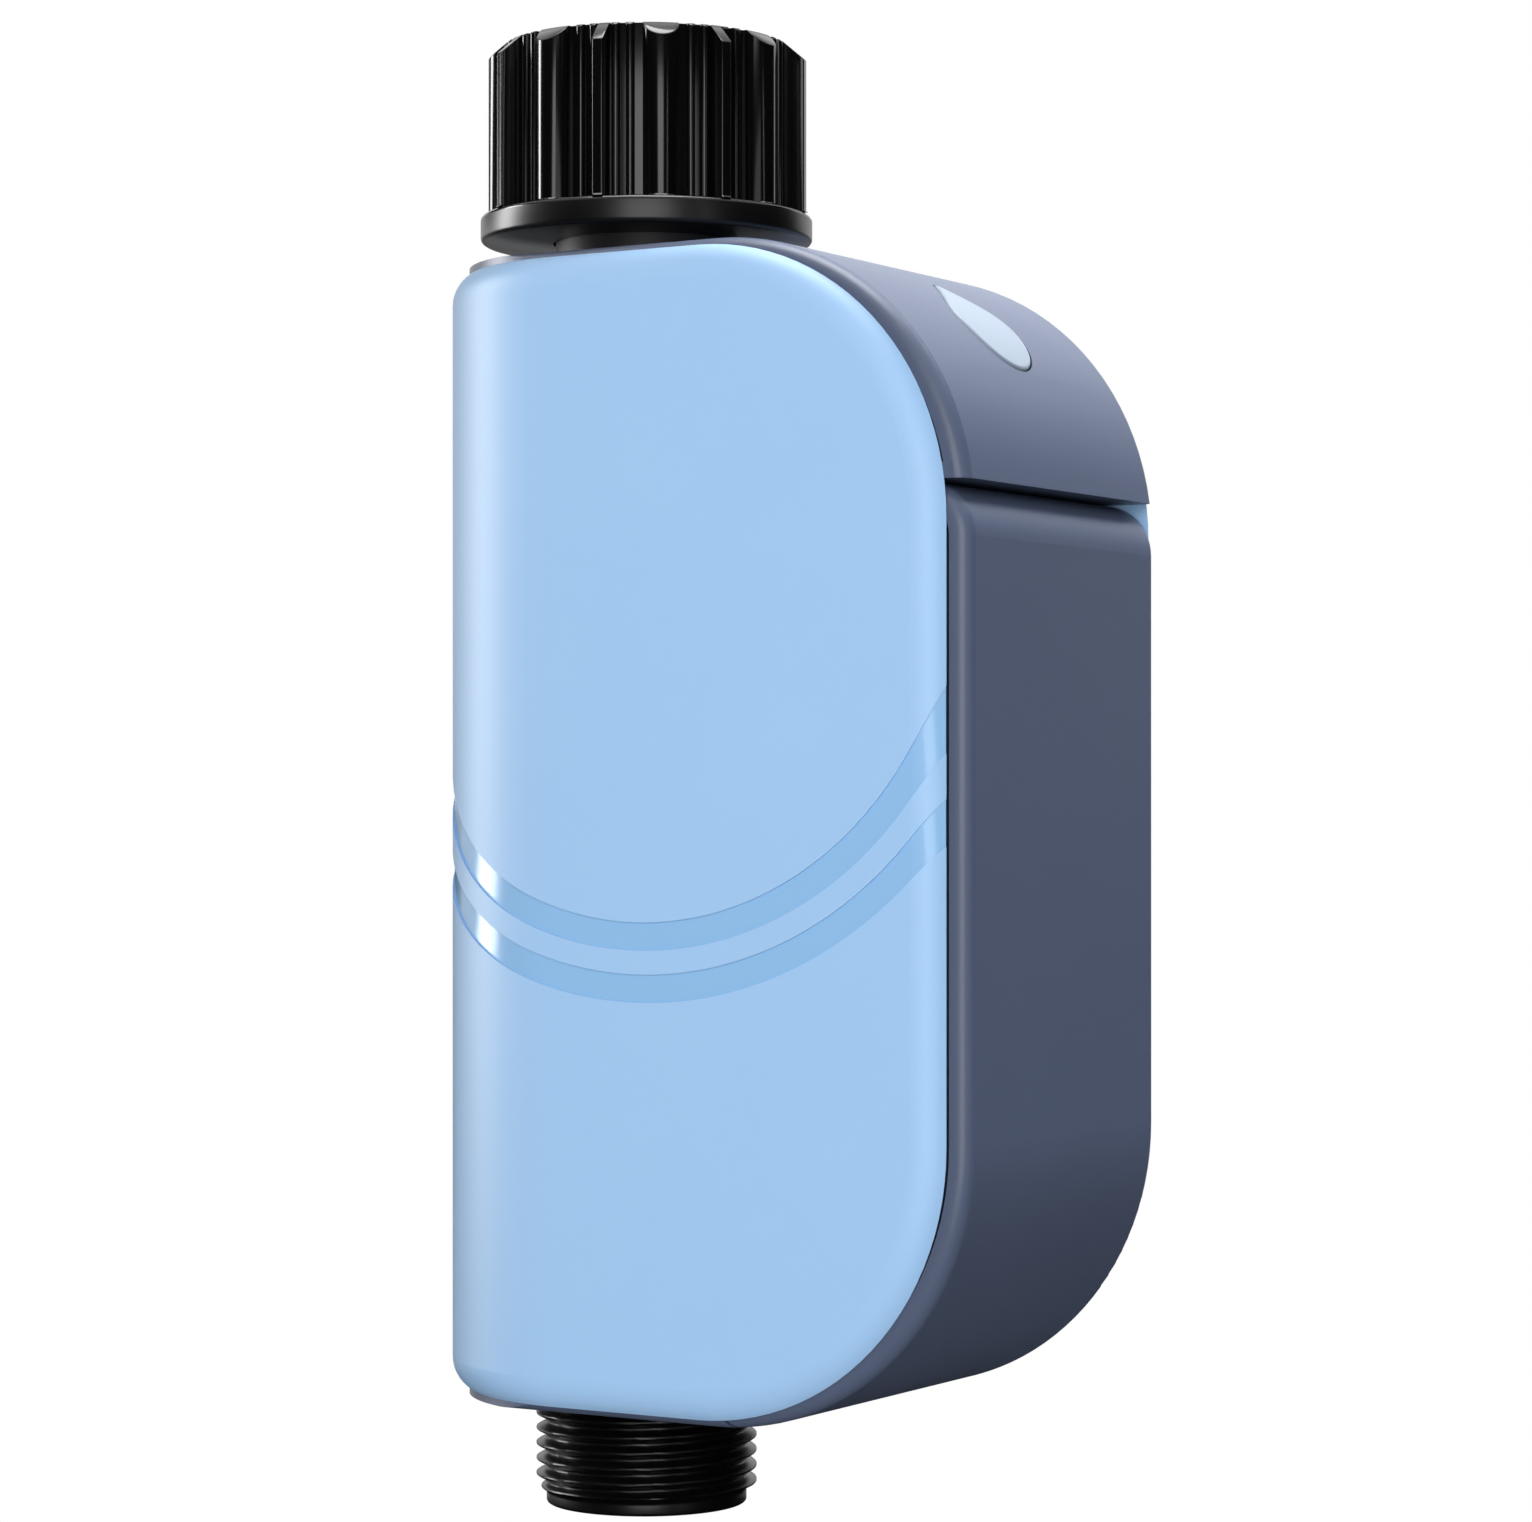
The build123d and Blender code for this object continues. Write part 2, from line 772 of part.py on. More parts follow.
export_step(chassis.part, "parts/chassis.step")

# Battery cover, with its knuckles at the foot
with BuildPart() as cover_core:
    with BuildSketch(Plane.XZ):
        cover_outline(frame_wall, -corner_radius)
    extrude(amount=body_half_depth, both=True)
with BuildPart() as foot_end:
    with BuildSketch(Plane.XZ):
        hinge_disc(cover_end_radius)
        with Locations((hinge_x, body_bottom)):
            Rectangle(
                body_right, body_height, align=(Align.MIN, Align.MIN)
            )
    extrude(amount=body_half_depth, both=True)
with BuildPart() as battery_cover:
    with BuildSketch(Plane.XZ):
        cover_outline(0, -corner_radius)
    extrude(amount=frame_half_depth - cover_gap, both=True)
    round_band_edges(battery_cover)
    add(cover_core.part, mode=Mode.SUBTRACT)
    add(foot_end.part, mode=Mode.INTERSECT)
    box_between(
        (-corner_radius, -body_half_depth, cover_split_z - 2 * lip_radius),
        (inner_face - inner_wall - lip_tail, body_half_depth, body_top),
        Mode.SUBTRACT,
    )
    with BuildSketch(Plane.XZ) as lug_room:
        hinge_disc(hinge_lug_radius + hinge_side_gap)
    for side in (-1, 1):
        for step in (-1, 1):
            with Locations((0, -side * (hinge_knuckle_y + step * hinge_step), 0)):
                extrude(
                    lug_room.sketch.moved(
                        Location((0, side * (hinge_knuckle_y + step * hinge_step), 0))
                    ),
                    amount=hinge_lug_width / 2 + hinge_side_gap,
                    both=True,
                    mode=Mode.SUBTRACT,
                )
        with BuildSketch(Plane.XZ.offset(-side * hinge_knuckle_y)):
            hinge_disc(hinge_lug_radius)
            with Locations((hinge_x, body_bottom + band_edge_round)):
                Rectangle(
                    2 * hinge_lug_radius,
                    hinge_z - body_bottom - band_edge_round,
                    align=(Align.CENTER, Align.MIN),
                )
        extrude(amount=hinge_knuckle_width / 2, both=True)
    with BuildSketch(Plane.XZ):
        hinge_disc(hinge_pin_radius + hinge_play)
    extrude(amount=body_half_depth, both=True, mode=Mode.SUBTRACT)
battery_cover.part.label = "battery_cover"
export_step(battery_cover.part, "parts/battery_cover.step")

with BuildPart() as cover_hinge_pins:
    for side in (-1, 1):
        with BuildSketch(Plane.XZ.offset(-side * hinge_knuckle_y)):
            hinge_disc(hinge_pin_radius)
        extrude(amount=hinge_step + hinge_lug_width / 2, both=True)
cover_hinge_pins.part.label = "cover_hinge_pins"
export_step(cover_hinge_pins.part, "parts/cover_hinge_pins.step")

with BuildPart() as cover_gasket:
    with BuildSketch(Plane.YZ.offset(inner_face)):
        with Locations((0, (bay_top + bay_bottom) / 2)):
            opening_height = bay_top - bay_bottom - 2 * bay_lip
            RectangleRounded(
                2 * (bay_half_depth + gasket_margin + gasket_width),
                opening_height + 2 * (gasket_margin + gasket_width),
                gasket_corner + gasket_width,
            )
            RectangleRounded(
                2 * (bay_half_depth + gasket_margin),
                opening_height + 2 * gasket_margin,
                gasket_corner,
                mode=Mode.SUBTRACT,
            )
    extrude(amount=gasket_thickness)
cover_gasket.part.label = "cover_gasket"
export_step(cover_gasket.part, "parts/cover_gasket.step")

# Button, pressed along the corner's normal
with BuildPart() as button_cap:
    with BuildSketch(button_plane.offset(button_foot)):
        button_outline(0)
    extrude(amount=corner_radius - button_foot + 3 * cut_over)
    with BuildSketch(Plane.XZ):
        with Locations((corner_centre_x, top_corner_centre_z)):
            Circle(corner_radius + button_proud)
    extrude(amount=body_half_depth, both=True, mode=Mode.INTERSECT)
    crown = button_cap.faces().filter_by(GeomType.CYLINDER).sort_by(
        lambda f: (f.center() - button_plane.origin).dot(button_normal)
    )[-1]
    fillet(crown.edges(), button_edge_round)
    with BuildSketch(button_plane.offset(button_foot)):
        button_outline(button_lip)
    extrude(amount=button_lip_thickness)
    with BuildSketch(button_plane.offset(button_foot)):
        Circle(plunger_radius)
    extrude(amount=-plunger_length)
button_cap.part.label = "button_cap"
export_step(button_cap.part, "parts/button_cap.step")

with BuildPart() as switch_board:
    with BuildSketch(button_plane.offset(switch_board_base)):
        Rectangle(switch_board_size, switch_board_size)
    extrude(amount=switch_board_thickness)
switch_board.part.label = "switch_board"
export_step(switch_board.part, "parts/switch_board.step")

with BuildPart() as tactile_switch:
    with BuildSketch(button_plane.offset(switch_board_base + switch_board_thickness)):
        Rectangle(switch_size, switch_size)
    extrude(amount=switch_height)
    with BuildSketch(
        button_plane.offset(switch_board_base + switch_board_thickness + switch_height)
    ):
        Circle(switch_cap_radius)
    extrude(amount=switch_cap_height)
tactile_switch.part.label = "tactile_switch"
export_step(tactile_switch.part, "parts/tactile_switch.step")

# Inlet nut: lobes, ribs and ridges outside, flange at the foot, pipe thread inside
with BuildPart() as inlet_nut:
    grip_foot = nut_bottom + nut_flange_height / 2
    with BuildSketch(Plane.XY.offset(grip_foot)):
        Circle(grip_base_radius)
        for group in range(grip_groups):
            turn = group * 360 / grip_groups + grip_start
            with PolarLocations(nut_radius - lobe_round, 1, turn):
                Circle(lobe_round)
            for side in (-1, 1):
                for rib in range(rib_count):
                    angle = turn + side * (rib_start + rib * rib_step)
                    with PolarLocations(rib_top_radius - rib_round, 1, angle):
                        Circle(rib_round)
        with PolarLocations(0, grip_groups, grip_start + 180 / grip_groups):
            with Locations((ridge_radius, 0)):
                Rectangle(
                    ridge_radius - nut_cavity_radius, ridge_width,
                    align=(Align.MAX, Align.CENTER),
                )
        Circle(nut_mouth_radius, mode=Mode.SUBTRACT)
    extrude(amount=nut_top - grip_foot)
    cone_foot = nut_top - nut_cone_slope * (nut_flange_radius - nut_rim_radius)
    with BuildSketch(Plane.XZ):
        with BuildLine():
            Polyline(
                (0, grip_foot),
                (nut_flange_radius, grip_foot),
                (nut_flange_radius, cone_foot),
                (nut_rim_radius, nut_top),
                (0, nut_top),
                close=True,
            )
        make_face()
    revolve(axis=Axis.Z, mode=Mode.INTERSECT)
    with BuildSketch(Plane.XZ) as flange_profile:
        with Locations((nut_mouth_radius, nut_bottom)):
            Rectangle(
                nut_flange_radius - nut_mouth_radius, nut_flange_height,
                align=(Align.MIN, Align.MIN),
            )
        fillet(flange_profile.vertices().group_by(Axis.X)[-1], nut_flange_round)
    revolve(axis=Axis.Z)
    with BuildSketch(Plane.XZ):
        with BuildLine():
            Polyline(
                (0, nut_lip_top),
                (nut_cavity_radius, nut_lip_top),
                (nut_cavity_radius, nut_cavity_top),
                (thread_minor_radius, nut_cavity_top + nut_cavity_radius - thread_minor_radius),
                (thread_minor_radius, nut_top - nut_mouth_chamfer),
                (thread_minor_radius + nut_mouth_chamfer, nut_top),
                (0, nut_top),
                close=True,
            )
        make_face()
        for turn in range(nut_threads):
            root_z = first_thread_z + turn * thread_pitch
            thread_groove(thread_minor_radius, thread_major_radius, root_z)
    revolve(axis=Axis.Z, mode=Mode.SUBTRACT)
inlet_nut.part.label = "inlet_nut"
export_step(inlet_nut.part, "parts/inlet_nut.step")

# Washer, filter and the ring that keeps the nut on the neck
with BuildPart() as inlet_washer:
    with BuildSketch(Plane.XY.offset(-washer_thickness)):
        Circle(washer_radius)
        Circle(filter_flange_radius + fit_gap, mode=Mode.SUBTRACT)
    extrude(amount=washer_thickness)
inlet_washer.part.label = "inlet_washer"
export_step(inlet_washer.part, "parts/inlet_washer.step")

with BuildPart() as inlet_filter:
    cup_radius = bore_radius - filter_gap
    with BuildSketch(Plane.XZ):
        with BuildLine():
            l1 = Polyline(
                (0, -washer_thickness - filter_depth),
                (cup_radius - filter_round, -washer_thickness - filter_depth),
            )
            l2 = RadiusArc(
                l1 @ 1, (cup_radius, -washer_thickness - filter_depth + filter_round),
                -filter_round,
            )
            l3 = Polyline(
                l2 @ 1,
                (cup_radius, -washer_thickness),
                (filter_flange_radius, -washer_thickness),
                (filter_flange_radius, -washer_thickness + filter_rim_height),
                (cup_radius - filter_wall, -washer_thickness + filter_rim_height),
                (cup_radius - filter_wall, -washer_thickness - filter_depth + filter_round),
            )
            l4 = RadiusArc(
                l3 @ 1,
                (
                    cup_radius - filter_round,
                    -washer_thickness - filter_depth + filter_wall,
                ),
                filter_round - filter_wall,
            )
            Polyline(l4 @ 1, (0, -washer_thickness - filter_depth + filter_wall), l1 @ 0)
        make_face()
    revolve(axis=Axis.Z)
    with BuildSketch(Plane.XY.offset(-washer_thickness - filter_depth)):
        with PolarLocations(0, filter_slots):
            with Locations((filter_slot_start, 0)):
                Rectangle(
                    bore_radius, filter_slot_width, align=(Align.MIN, Align.CENTER)
                )
    extrude(amount=filter_depth - filter_rim_height, mode=Mode.SUBTRACT)
inlet_filter.part.label = "inlet_filter"
export_step(inlet_filter.part, "parts/inlet_filter.step")

with BuildPart() as swivel_ring:
    with BuildSketch(Plane.XY.offset(ring_groove_z)):
        Circle(ring_radius)
        Circle(neck_radius - ring_groove_depth + ring_clearance, mode=Mode.SUBTRACT)
        with Locations((-ring_radius, 0)):
            Rectangle(ring_radius, ring_split, mode=Mode.SUBTRACT)
    extrude(amount=ring_groove_height / 2 - ring_clearance, both=True)
swivel_ring.part.label = "swivel_ring"
export_step(swivel_ring.part, "parts/swivel_ring.step")

# Valve body: neck, collar, pipe, ball chamber and the pad for the gear case
chamber_top = seat_top + chamber_wall
with BuildPart() as valve_body:
    with BuildSketch(Plane.XZ):
        with BuildLine():
            Polyline(
                (0, -washer_thickness),
                (neck_radius, -washer_thickness),
                (neck_radius, collar_top),
                (collar_radius, collar_top),
                (collar_radius, collar_top - collar_height),
                (pipe_radius, collar_top - collar_height - collar_slope),
                (pipe_radius, chamber_top + chamber_outer - pipe_radius),
                (chamber_outer, chamber_top),
                (chamber_outer, body_floor + spout_collar_height),
                (0, body_floor + spout_collar_height),
                close=True,
            )
        make_face()
    revolve(axis=Axis.Z)
    box_between(
        (0, -pad_half_width, valve_z - pad_bottom),
        (pad_x, pad_half_width, valve_z + pad_top),
    )
    with BuildSketch(Plane.XZ):
        with Locations((0, ring_groove_z)):
            Rectangle(2 * (neck_radius + cut_over), ring_groove_height)
            Rectangle(
                2 * (neck_radius - ring_groove_depth), ring_groove_height,
                mode=Mode.SUBTRACT,
            )
        with Locations((-neck_radius - cut_over, ring_groove_z)):
            Rectangle(
                neck_radius + cut_over, ring_groove_height,
                align=(Align.MIN, Align.CENTER), mode=Mode.SUBTRACT,
            )
    revolve(axis=Axis.Z, mode=Mode.SUBTRACT)
    with BuildSketch(Plane.XY):
        Circle(bore_radius)
    extrude(amount=seat_top - weld, mode=Mode.SUBTRACT)
    with BuildSketch(Plane.XY.offset(seat_top)):
        Circle(chamber_radius)
    extrude(amount=body_bottom - seat_top, mode=Mode.SUBTRACT)
    with BuildSketch(Plane.YZ):
        with Locations((0, valve_z)):
            Circle(stem_radius + stem_play)
    extrude(amount=pad_x + cut_over, mode=Mode.SUBTRACT)
    with BuildSketch(Plane.YZ.offset(pad_x)):
        with Locations(*case_screw_places):
            Circle(case_screw_radius)
    extrude(amount=-case_screw_grip, mode=Mode.SUBTRACT)
valve_body.part.label = "valve_body"
export_step(valve_body.part, "parts/valve_body.step")

# Ball, its two seats and the stem
with BuildPart() as valve_ball:
    with Locations((0, 0, valve_z)):
        Sphere(ball_radius)
        Cylinder(
            ball_bore_radius, 3 * ball_radius, rotation=(90, 0, 0), mode=Mode.SUBTRACT
        )
    box_between(
        (stem_inner_x - stem_tongue_depth - ball_play, -stem_tongue / 2 - ball_play,
         valve_z - ball_radius),
        (ball_radius + cut_over, stem_tongue / 2 + ball_play, valve_z + ball_radius),
        Mode.SUBTRACT,
    )
valve_ball.part.label = "valve_ball"
export_step(valve_ball.part, "parts/valve_ball.step")

with BuildPart() as ball_seats:
    for z in (seat_bottom, seat_top - seat_height):
        with BuildSketch(Plane.XY.offset(z)):
            Circle(chamber_radius - fit_gap / 2)
            Circle(seat_bore_radius, mode=Mode.SUBTRACT)
        extrude(amount=seat_height)
    with Locations((0, 0, valve_z)):
        Sphere(ball_radius + ball_play, mode=Mode.SUBTRACT)
ball_seats.part.label = "ball_seats"
export_step(ball_seats.part, "parts/ball_seats.step")

with BuildPart() as valve_stem:
    with BuildSketch(Plane.YZ.offset(stem_inner_x)):
        with Locations((0, valve_z)):
            Circle(stem_radius)
    extrude(amount=output_layer[0] - stem_inner_x)
    with BuildSketch(Plane.YZ.offset(output_layer[0])):
        with Locations((0, valve_z)):
            Rectangle(stem_square, stem_square)
    extrude(amount=output_layer[1] - output_layer[0])
    with BuildSketch(Plane.YZ.offset(stem_inner_x)):
        with Locations((0, valve_z)):
            Rectangle(stem_tongue, 2 * stem_radius)
            Circle(stem_radius, mode=Mode.INTERSECT)
    extrude(amount=-stem_tongue_depth)
    for x in o_ring_xs:
        with BuildSketch(Plane.YZ.offset(x)):
            with Locations((0, valve_z)):
                Circle(stem_radius + cut_over)
                Circle(o_ring_centre - o_ring_radius, mode=Mode.SUBTRACT)
        extrude(amount=o_ring_radius + fit_gap, both=True, mode=Mode.SUBTRACT)
valve_stem.part.label = "valve_stem"
export_step(valve_stem.part, "parts/valve_stem.step")

with BuildPart() as stem_o_rings:
    for x in o_ring_xs:
        with Locations(Location((x, 0, valve_z), (0, 90, 0))):
            Torus(o_ring_centre, o_ring_radius)
stem_o_rings.part.label = "stem_o_rings"
export_step(stem_o_rings.part, "parts/stem_o_rings.step")

# Outlet spout: plug in the chamber, collar on the floor, pipe thread below
with BuildPart() as outlet_spout:
    with BuildSketch(Plane.XZ):
        with BuildLine():
            Polyline(
                (bore_radius, seat_bottom),
                (chamber_radius - fit_gap, seat_bottom),
                (chamber_radius - fit_gap, body_floor + spout_collar_height),
                (collar_radius, body_floor + spout_collar_height),
                (collar_radius, body_floor),
                (spout_plain_radius, body_floor),
                (spout_plain_radius, body_bottom - spout_plain_length),
                (thread_minor_radius, body_bottom - spout_plain_length - spout_run_out),
                (thread_minor_radius, spout_end + spout_nose_length),
                (spout_nose_radius, spout_end + spout_nose_length),
                (spout_nose_radius, spout_end),
                (bore_radius, spout_end),
                close=True,
            )
        make_face()
        for turn in range(spout_threads):
            crest_z = spout_first_crest_z - turn * thread_pitch
            thread_crest(crest_z)
    revolve(axis=Axis.Z)
outlet_spout.part.label = "outlet_spout"
export_step(outlet_spout.part, "parts/outlet_spout.step")

# Gears on axes along X
valve_gear_turn = 0.0
compound_direction = compound_angle
compound_pinion_turn = meshed_turn(
    wheel_teeth, valve_gear_turn, compound_direction, pinion_teeth
)
motor_pinion_turn = meshed_turn(wheel_teeth, 0.0, 180.0, pinion_teeth)

with BuildPart() as output_gear:
    with BuildSketch(Plane.YZ.offset(output_layer[0])):
        gear_face(wheel_teeth, valve_gear_turn, (0, valve_z))
        with Locations((0, valve_z)):
            Rectangle(stem_square, stem_square, mode=Mode.SUBTRACT)
    extrude(amount=output_layer[1] - output_layer[0])
output_gear.part.label = "output_gear"
export_step(output_gear.part, "parts/output_gear.step")

with BuildPart() as compound_gear:
    with BuildSketch(Plane.YZ.offset(output_layer[0])):
        gear_face(pinion_teeth, compound_pinion_turn, (compound_y, compound_z))
    extrude(amount=wheel_layer[0] - output_layer[0])
    with BuildSketch(Plane.YZ.offset(wheel_layer[0])):
        gear_face(wheel_teeth, 0.0, (compound_y, compound_z))
    extrude(amount=wheel_layer[1] - wheel_layer[0])
    with BuildSketch(Plane.YZ.offset(output_layer[0])):
        with Locations((compound_y, compound_z)):
            Circle(gear_pin_radius + gear_pin_play)
    extrude(amount=wheel_layer[1] - output_layer[0], mode=Mode.SUBTRACT)
compound_gear.part.label = "compound_gear"
export_step(compound_gear.part, "parts/compound_gear.step")

with BuildPart() as compound_gear_pin:
    with BuildSketch(Plane.YZ.offset(case_left + case_plate / 2)):
        with Locations((compound_y, compound_z)):
            Circle(gear_pin_radius)
    extrude(amount=lid_right - case_plate / 2 - case_left - case_plate / 2)
compound_gear_pin.part.label = "compound_gear_pin"
export_step(compound_gear_pin.part, "parts/compound_gear_pin.step")

with BuildPart() as motor_pinion:
    with BuildSketch(Plane.YZ.offset(wheel_layer[0])):
        gear_face(pinion_teeth, motor_pinion_turn, (motor_y, motor_z))
        with Locations((motor_y, motor_z)):
            Circle(motor_shaft_radius, mode=Mode.SUBTRACT)
    extrude(amount=wheel_layer[1] - wheel_layer[0])
motor_pinion.part.label = "motor_pinion"
export_step(motor_pinion.part, "parts/motor_pinion.step")

with BuildPart() as motor_shaft:
    with BuildSketch(Plane.YZ.offset(wheel_layer[0])):
        with Locations((motor_y, motor_z)):
            Circle(motor_shaft_radius)
    extrude(amount=motor_shaft_end - wheel_layer[0])
motor_shaft.part.label = "motor_shaft"
export_step(motor_shaft.part, "parts/motor_shaft.step")

with BuildPart() as motor:
    with BuildSketch(Plane.YZ.offset(lid_right)):
        with Locations((motor_y, motor_z)):
            RectangleRounded(motor_width, motor_height, motor_end_round)
    extrude(amount=motor_can)
    with BuildSketch(Plane.YZ.offset(lid_right)):
        with Locations((motor_y, motor_z)):
            Circle(motor_shaft_radius + motor_shaft_play)
    extrude(amount=motor_shaft_end + shaft_end_gap - lid_right, mode=Mode.SUBTRACT)
motor.part.label = "motor"
export_step(motor.part, "parts/motor.step")

# Gear case: a base on the valve body's pad and a stepped lid that holds the motor
lower_right = output_layer[1] + case_clear
upper_bottom = compound_z - wheel_tip - case_clear - case_wall
with BuildPart() as gearbox_base:
    with BuildSketch(Plane.YZ.offset(case_left)):
        case_outline(case_z_min, 0)
    extrude(amount=lower_right - case_left)
    with BuildSketch(Plane.YZ.offset(case_left)):
        case_outline(upper_bottom, 0)
    extrude(amount=case_right - case_left)
    with BuildSketch(Plane.YZ.offset(case_left + case_plate)):
        case_outline(case_z_min, case_wall)
    extrude(amount=lower_right - case_left - case_plate, mode=Mode.SUBTRACT)
    with BuildSketch(Plane.YZ.offset(case_left + case_plate)):
        case_outline(upper_bottom, case_wall)
    extrude(amount=case_right - case_left, mode=Mode.SUBTRACT)
    with BuildSketch(Plane.YZ.offset(case_left)):
        with Locations(*case_screw_places[:2]):
            Circle(case_post_radius)
    extrude(amount=lower_right - case_left)
    with BuildSketch(Plane.YZ.offset(case_left)):
        with Locations(case_screw_places[2]):
            Circle(case_post_radius)
    extrude(amount=case_right - case_left)
    with BuildSketch(Plane.YZ.offset(case_left)):
        with Locations(*case_screw_places):
            Circle(case_screw_radius + fit_gap)
        with Locations((0, valve_z)):
            Circle(stem_radius + stem_play)
    extrude(amount=case_right - case_left, mode=Mode.SUBTRACT)
    with BuildSketch(Plane.YZ.offset(case_left + case_plate / 2)):
        with Locations((compound_y, compound_z)):
            Circle(gear_pin_radius)
    extrude(amount=case_plate, mode=Mode.SUBTRACT)
gearbox_base.part.label = "gearbox_base"
export_step(gearbox_base.part, "parts/gearbox_base.step")

with BuildPart() as gearbox_lid:
    with BuildSketch(Plane.YZ.offset(case_right)):
        case_outline(upper_bottom - lid_step, 0)
    extrude(amount=case_plate)
    with BuildSketch(Plane.YZ.offset(lower_right)):
        case_outline(case_z_min, 0)
        with Locations((0, upper_bottom - fit_gap)):
            Rectangle(
                3 * case_y_max, case_y_max * 3, align=(Align.CENTER, Align.MIN),
                mode=Mode.SUBTRACT,
            )
    extrude(amount=case_plate)
    box_between(
        (lower_right, case_y_min, upper_bottom - lid_step),
        (lid_right, case_y_max, upper_bottom - fit_gap),
    )
    with BuildSketch(Plane.YZ.offset(lid_right)):
        with Locations((motor_y, motor_z)):
            RectangleRounded(
                motor_width + 2 * case_wall, motor_height + 2 * case_wall,
                motor_end_round + case_wall,
            )
    extrude(amount=motor_sleeve)
    with BuildSketch(Plane.YZ.offset(lid_right)):
        with Locations((motor_y, motor_z)):
            RectangleRounded(
                motor_width + fit_gap, motor_height + fit_gap,
                motor_end_round + fit_gap / 2,
            )
    extrude(amount=motor_sleeve, mode=Mode.SUBTRACT)
    with BuildSketch(Plane.YZ.offset(case_right)):
        with Locations((motor_y, motor_z)):
            Circle(motor_shaft_radius + case_clear)
        with Locations((compound_y, compound_z)):
            Circle(gear_pin_radius)
        with Locations(case_screw_places[2]):
            Circle(case_screw_radius + fit_gap)
    extrude(amount=case_plate, mode=Mode.SUBTRACT)
    with BuildSketch(Plane.YZ.offset(lower_right)):
        with Locations(*case_screw_places[:2]):
            Circle(case_screw_radius + fit_gap)
    extrude(amount=case_plate, mode=Mode.SUBTRACT)
gearbox_lid.part.label = "gearbox_lid"
export_step(gearbox_lid.part, "parts/gearbox_lid.step")

with BuildPart() as gearbox_screws:
    for place, head_x in zip(
        case_screw_places,
        (lower_right + case_plate, lower_right + case_plate, lid_right),
    ):
        with BuildSketch(Plane.YZ.offset(pad_x - case_screw_grip)):
            with Locations(place):
                Circle(case_screw_radius)
        extrude(amount=head_x - pad_x + case_screw_grip)
        with BuildSketch(Plane.YZ.offset(head_x)):
            with Locations(place):
                Circle(case_screw_head_radius)
        extrude(amount=screw_head_height)
        with BuildSketch(Plane.YZ.offset(head_x + screw_head_height)):
            with Locations(place):
                Rectangle(case_slot_length, case_slot_width)
                Rectangle(case_slot_width, case_slot_length)
        extrude(amount=-case_slot_depth, mode=Mode.SUBTRACT)
gearbox_screws.part.label = "gearbox_screws"
export_step(gearbox_screws.part, "parts/gearbox_screws.step")

# Four AA cells and their contacts
with BuildPart() as battery_cells:
    for column, x in enumerate(cell_x):
        for y in cell_y:
            foot = cell_foot_z(column)
            with BuildSketch(Plane.XY.offset(foot)):
                with Locations((x, y)):
                    Circle(cell_radius)
            extrude(amount=cell_length)
            nub_z = foot + cell_length if column == 0 else foot - cell_nub_height
            with BuildSketch(Plane.XY.offset(nub_z)):
                with Locations((x, y)):
                    Circle(cell_nub_radius)
            extrude(amount=cell_nub_height)
battery_cells.part.label = "battery_cells"
export_step(battery_cells.part, "parts/battery_cells.step")

with BuildPart() as battery_contacts:
    for y in cell_y:
        for plate_z in (bay_bottom, bay_top - contact_thickness):
            with BuildSketch(Plane.XY.offset(plate_z)):
                with Locations(((cell_x[0] + cell_x[1]) / 2, y)):
                    Rectangle(cell_pitch + contact_width, contact_width)
            extrude(amount=contact_thickness)
        for x, start, end in (
            (cell_x[0], bay_bottom + contact_thickness, cell_foot_z(0)),
            (cell_x[1], bay_top - contact_thickness, cell_foot_z(1) + cell_length),
        ):
            half = contact_thickness / 2
            sense = 1 if end > start else -1
            foot_z = start + sense * half / 2
            with BuildSketch(Plane.XZ.offset(-y)):
                with BuildLine() as leaf:
                    ThreePointArc(
                        (x - leaf_half_width, foot_z),
                        (x, end - sense * half),
                        (x + leaf_half_width, foot_z),
                    )
                trace(leaf.edges(), contact_thickness)
            extrude(amount=leaf_width / 2, both=True)
battery_contacts.part.label = "battery_contacts"
export_step(battery_contacts.part, "parts/battery_contacts.step")

# Main board behind the battery bay
with BuildPart() as circuit_board:
    box_between(
        (board_left, board_y, board_bottom),
        (board_right, board_y + board_thickness, board_top),
    )
    for x, z in board_screw_places:
        with Locations(Plane((x, board_y, z), z_dir=(0, 1, 0))):
            Hole(board_screw_radius + fit_gap)
circuit_board.part.label = "circuit_board"
export_step(circuit_board.part, "parts/circuit_board.step")

with BuildPart() as board_chips:
    for right, down, width, height, depth in chip_places:
        x = board_left + right
        z = board_top - down
        box_between(
            (x - width / 2, board_y + board_thickness, z - height / 2),
            (x + width / 2, board_y + board_thickness + depth, z + height / 2),
        )
board_chips.part.label = "board_chips"
export_step(board_chips.part, "parts/board_chips.step")

radio_x = board_left + radio_right
radio_z = board_top - radio_down
with BuildPart() as radio_module:
    box_between(
        (radio_x - radio_width / 2, board_y + board_thickness, radio_z - radio_height / 2),
        (
            radio_x + radio_width / 2, board_y + board_thickness + radio_depth,
            radio_z + radio_height / 2,
        ),
    )
radio_module.part.label = "radio_module"
export_step(radio_module.part, "parts/radio_module.step")

with BuildPart() as board_screws:
    for x, z in board_screw_places:
        with Locations(Plane((x, board_y + board_thickness, z), z_dir=(0, 1, 0))):
            Cylinder(
                2 * board_screw_radius, screw_head_height / 2,
                align=(Align.CENTER, Align.CENTER, Align.MIN),
            )
            Cylinder(
                board_screw_radius, board_screw_grip + board_thickness,
                align=(Align.CENTER, Align.CENTER, Align.MAX),
            )
board_screws.part.label = "board_screws"
export_step(board_screws.part, "parts/board_screws.step")

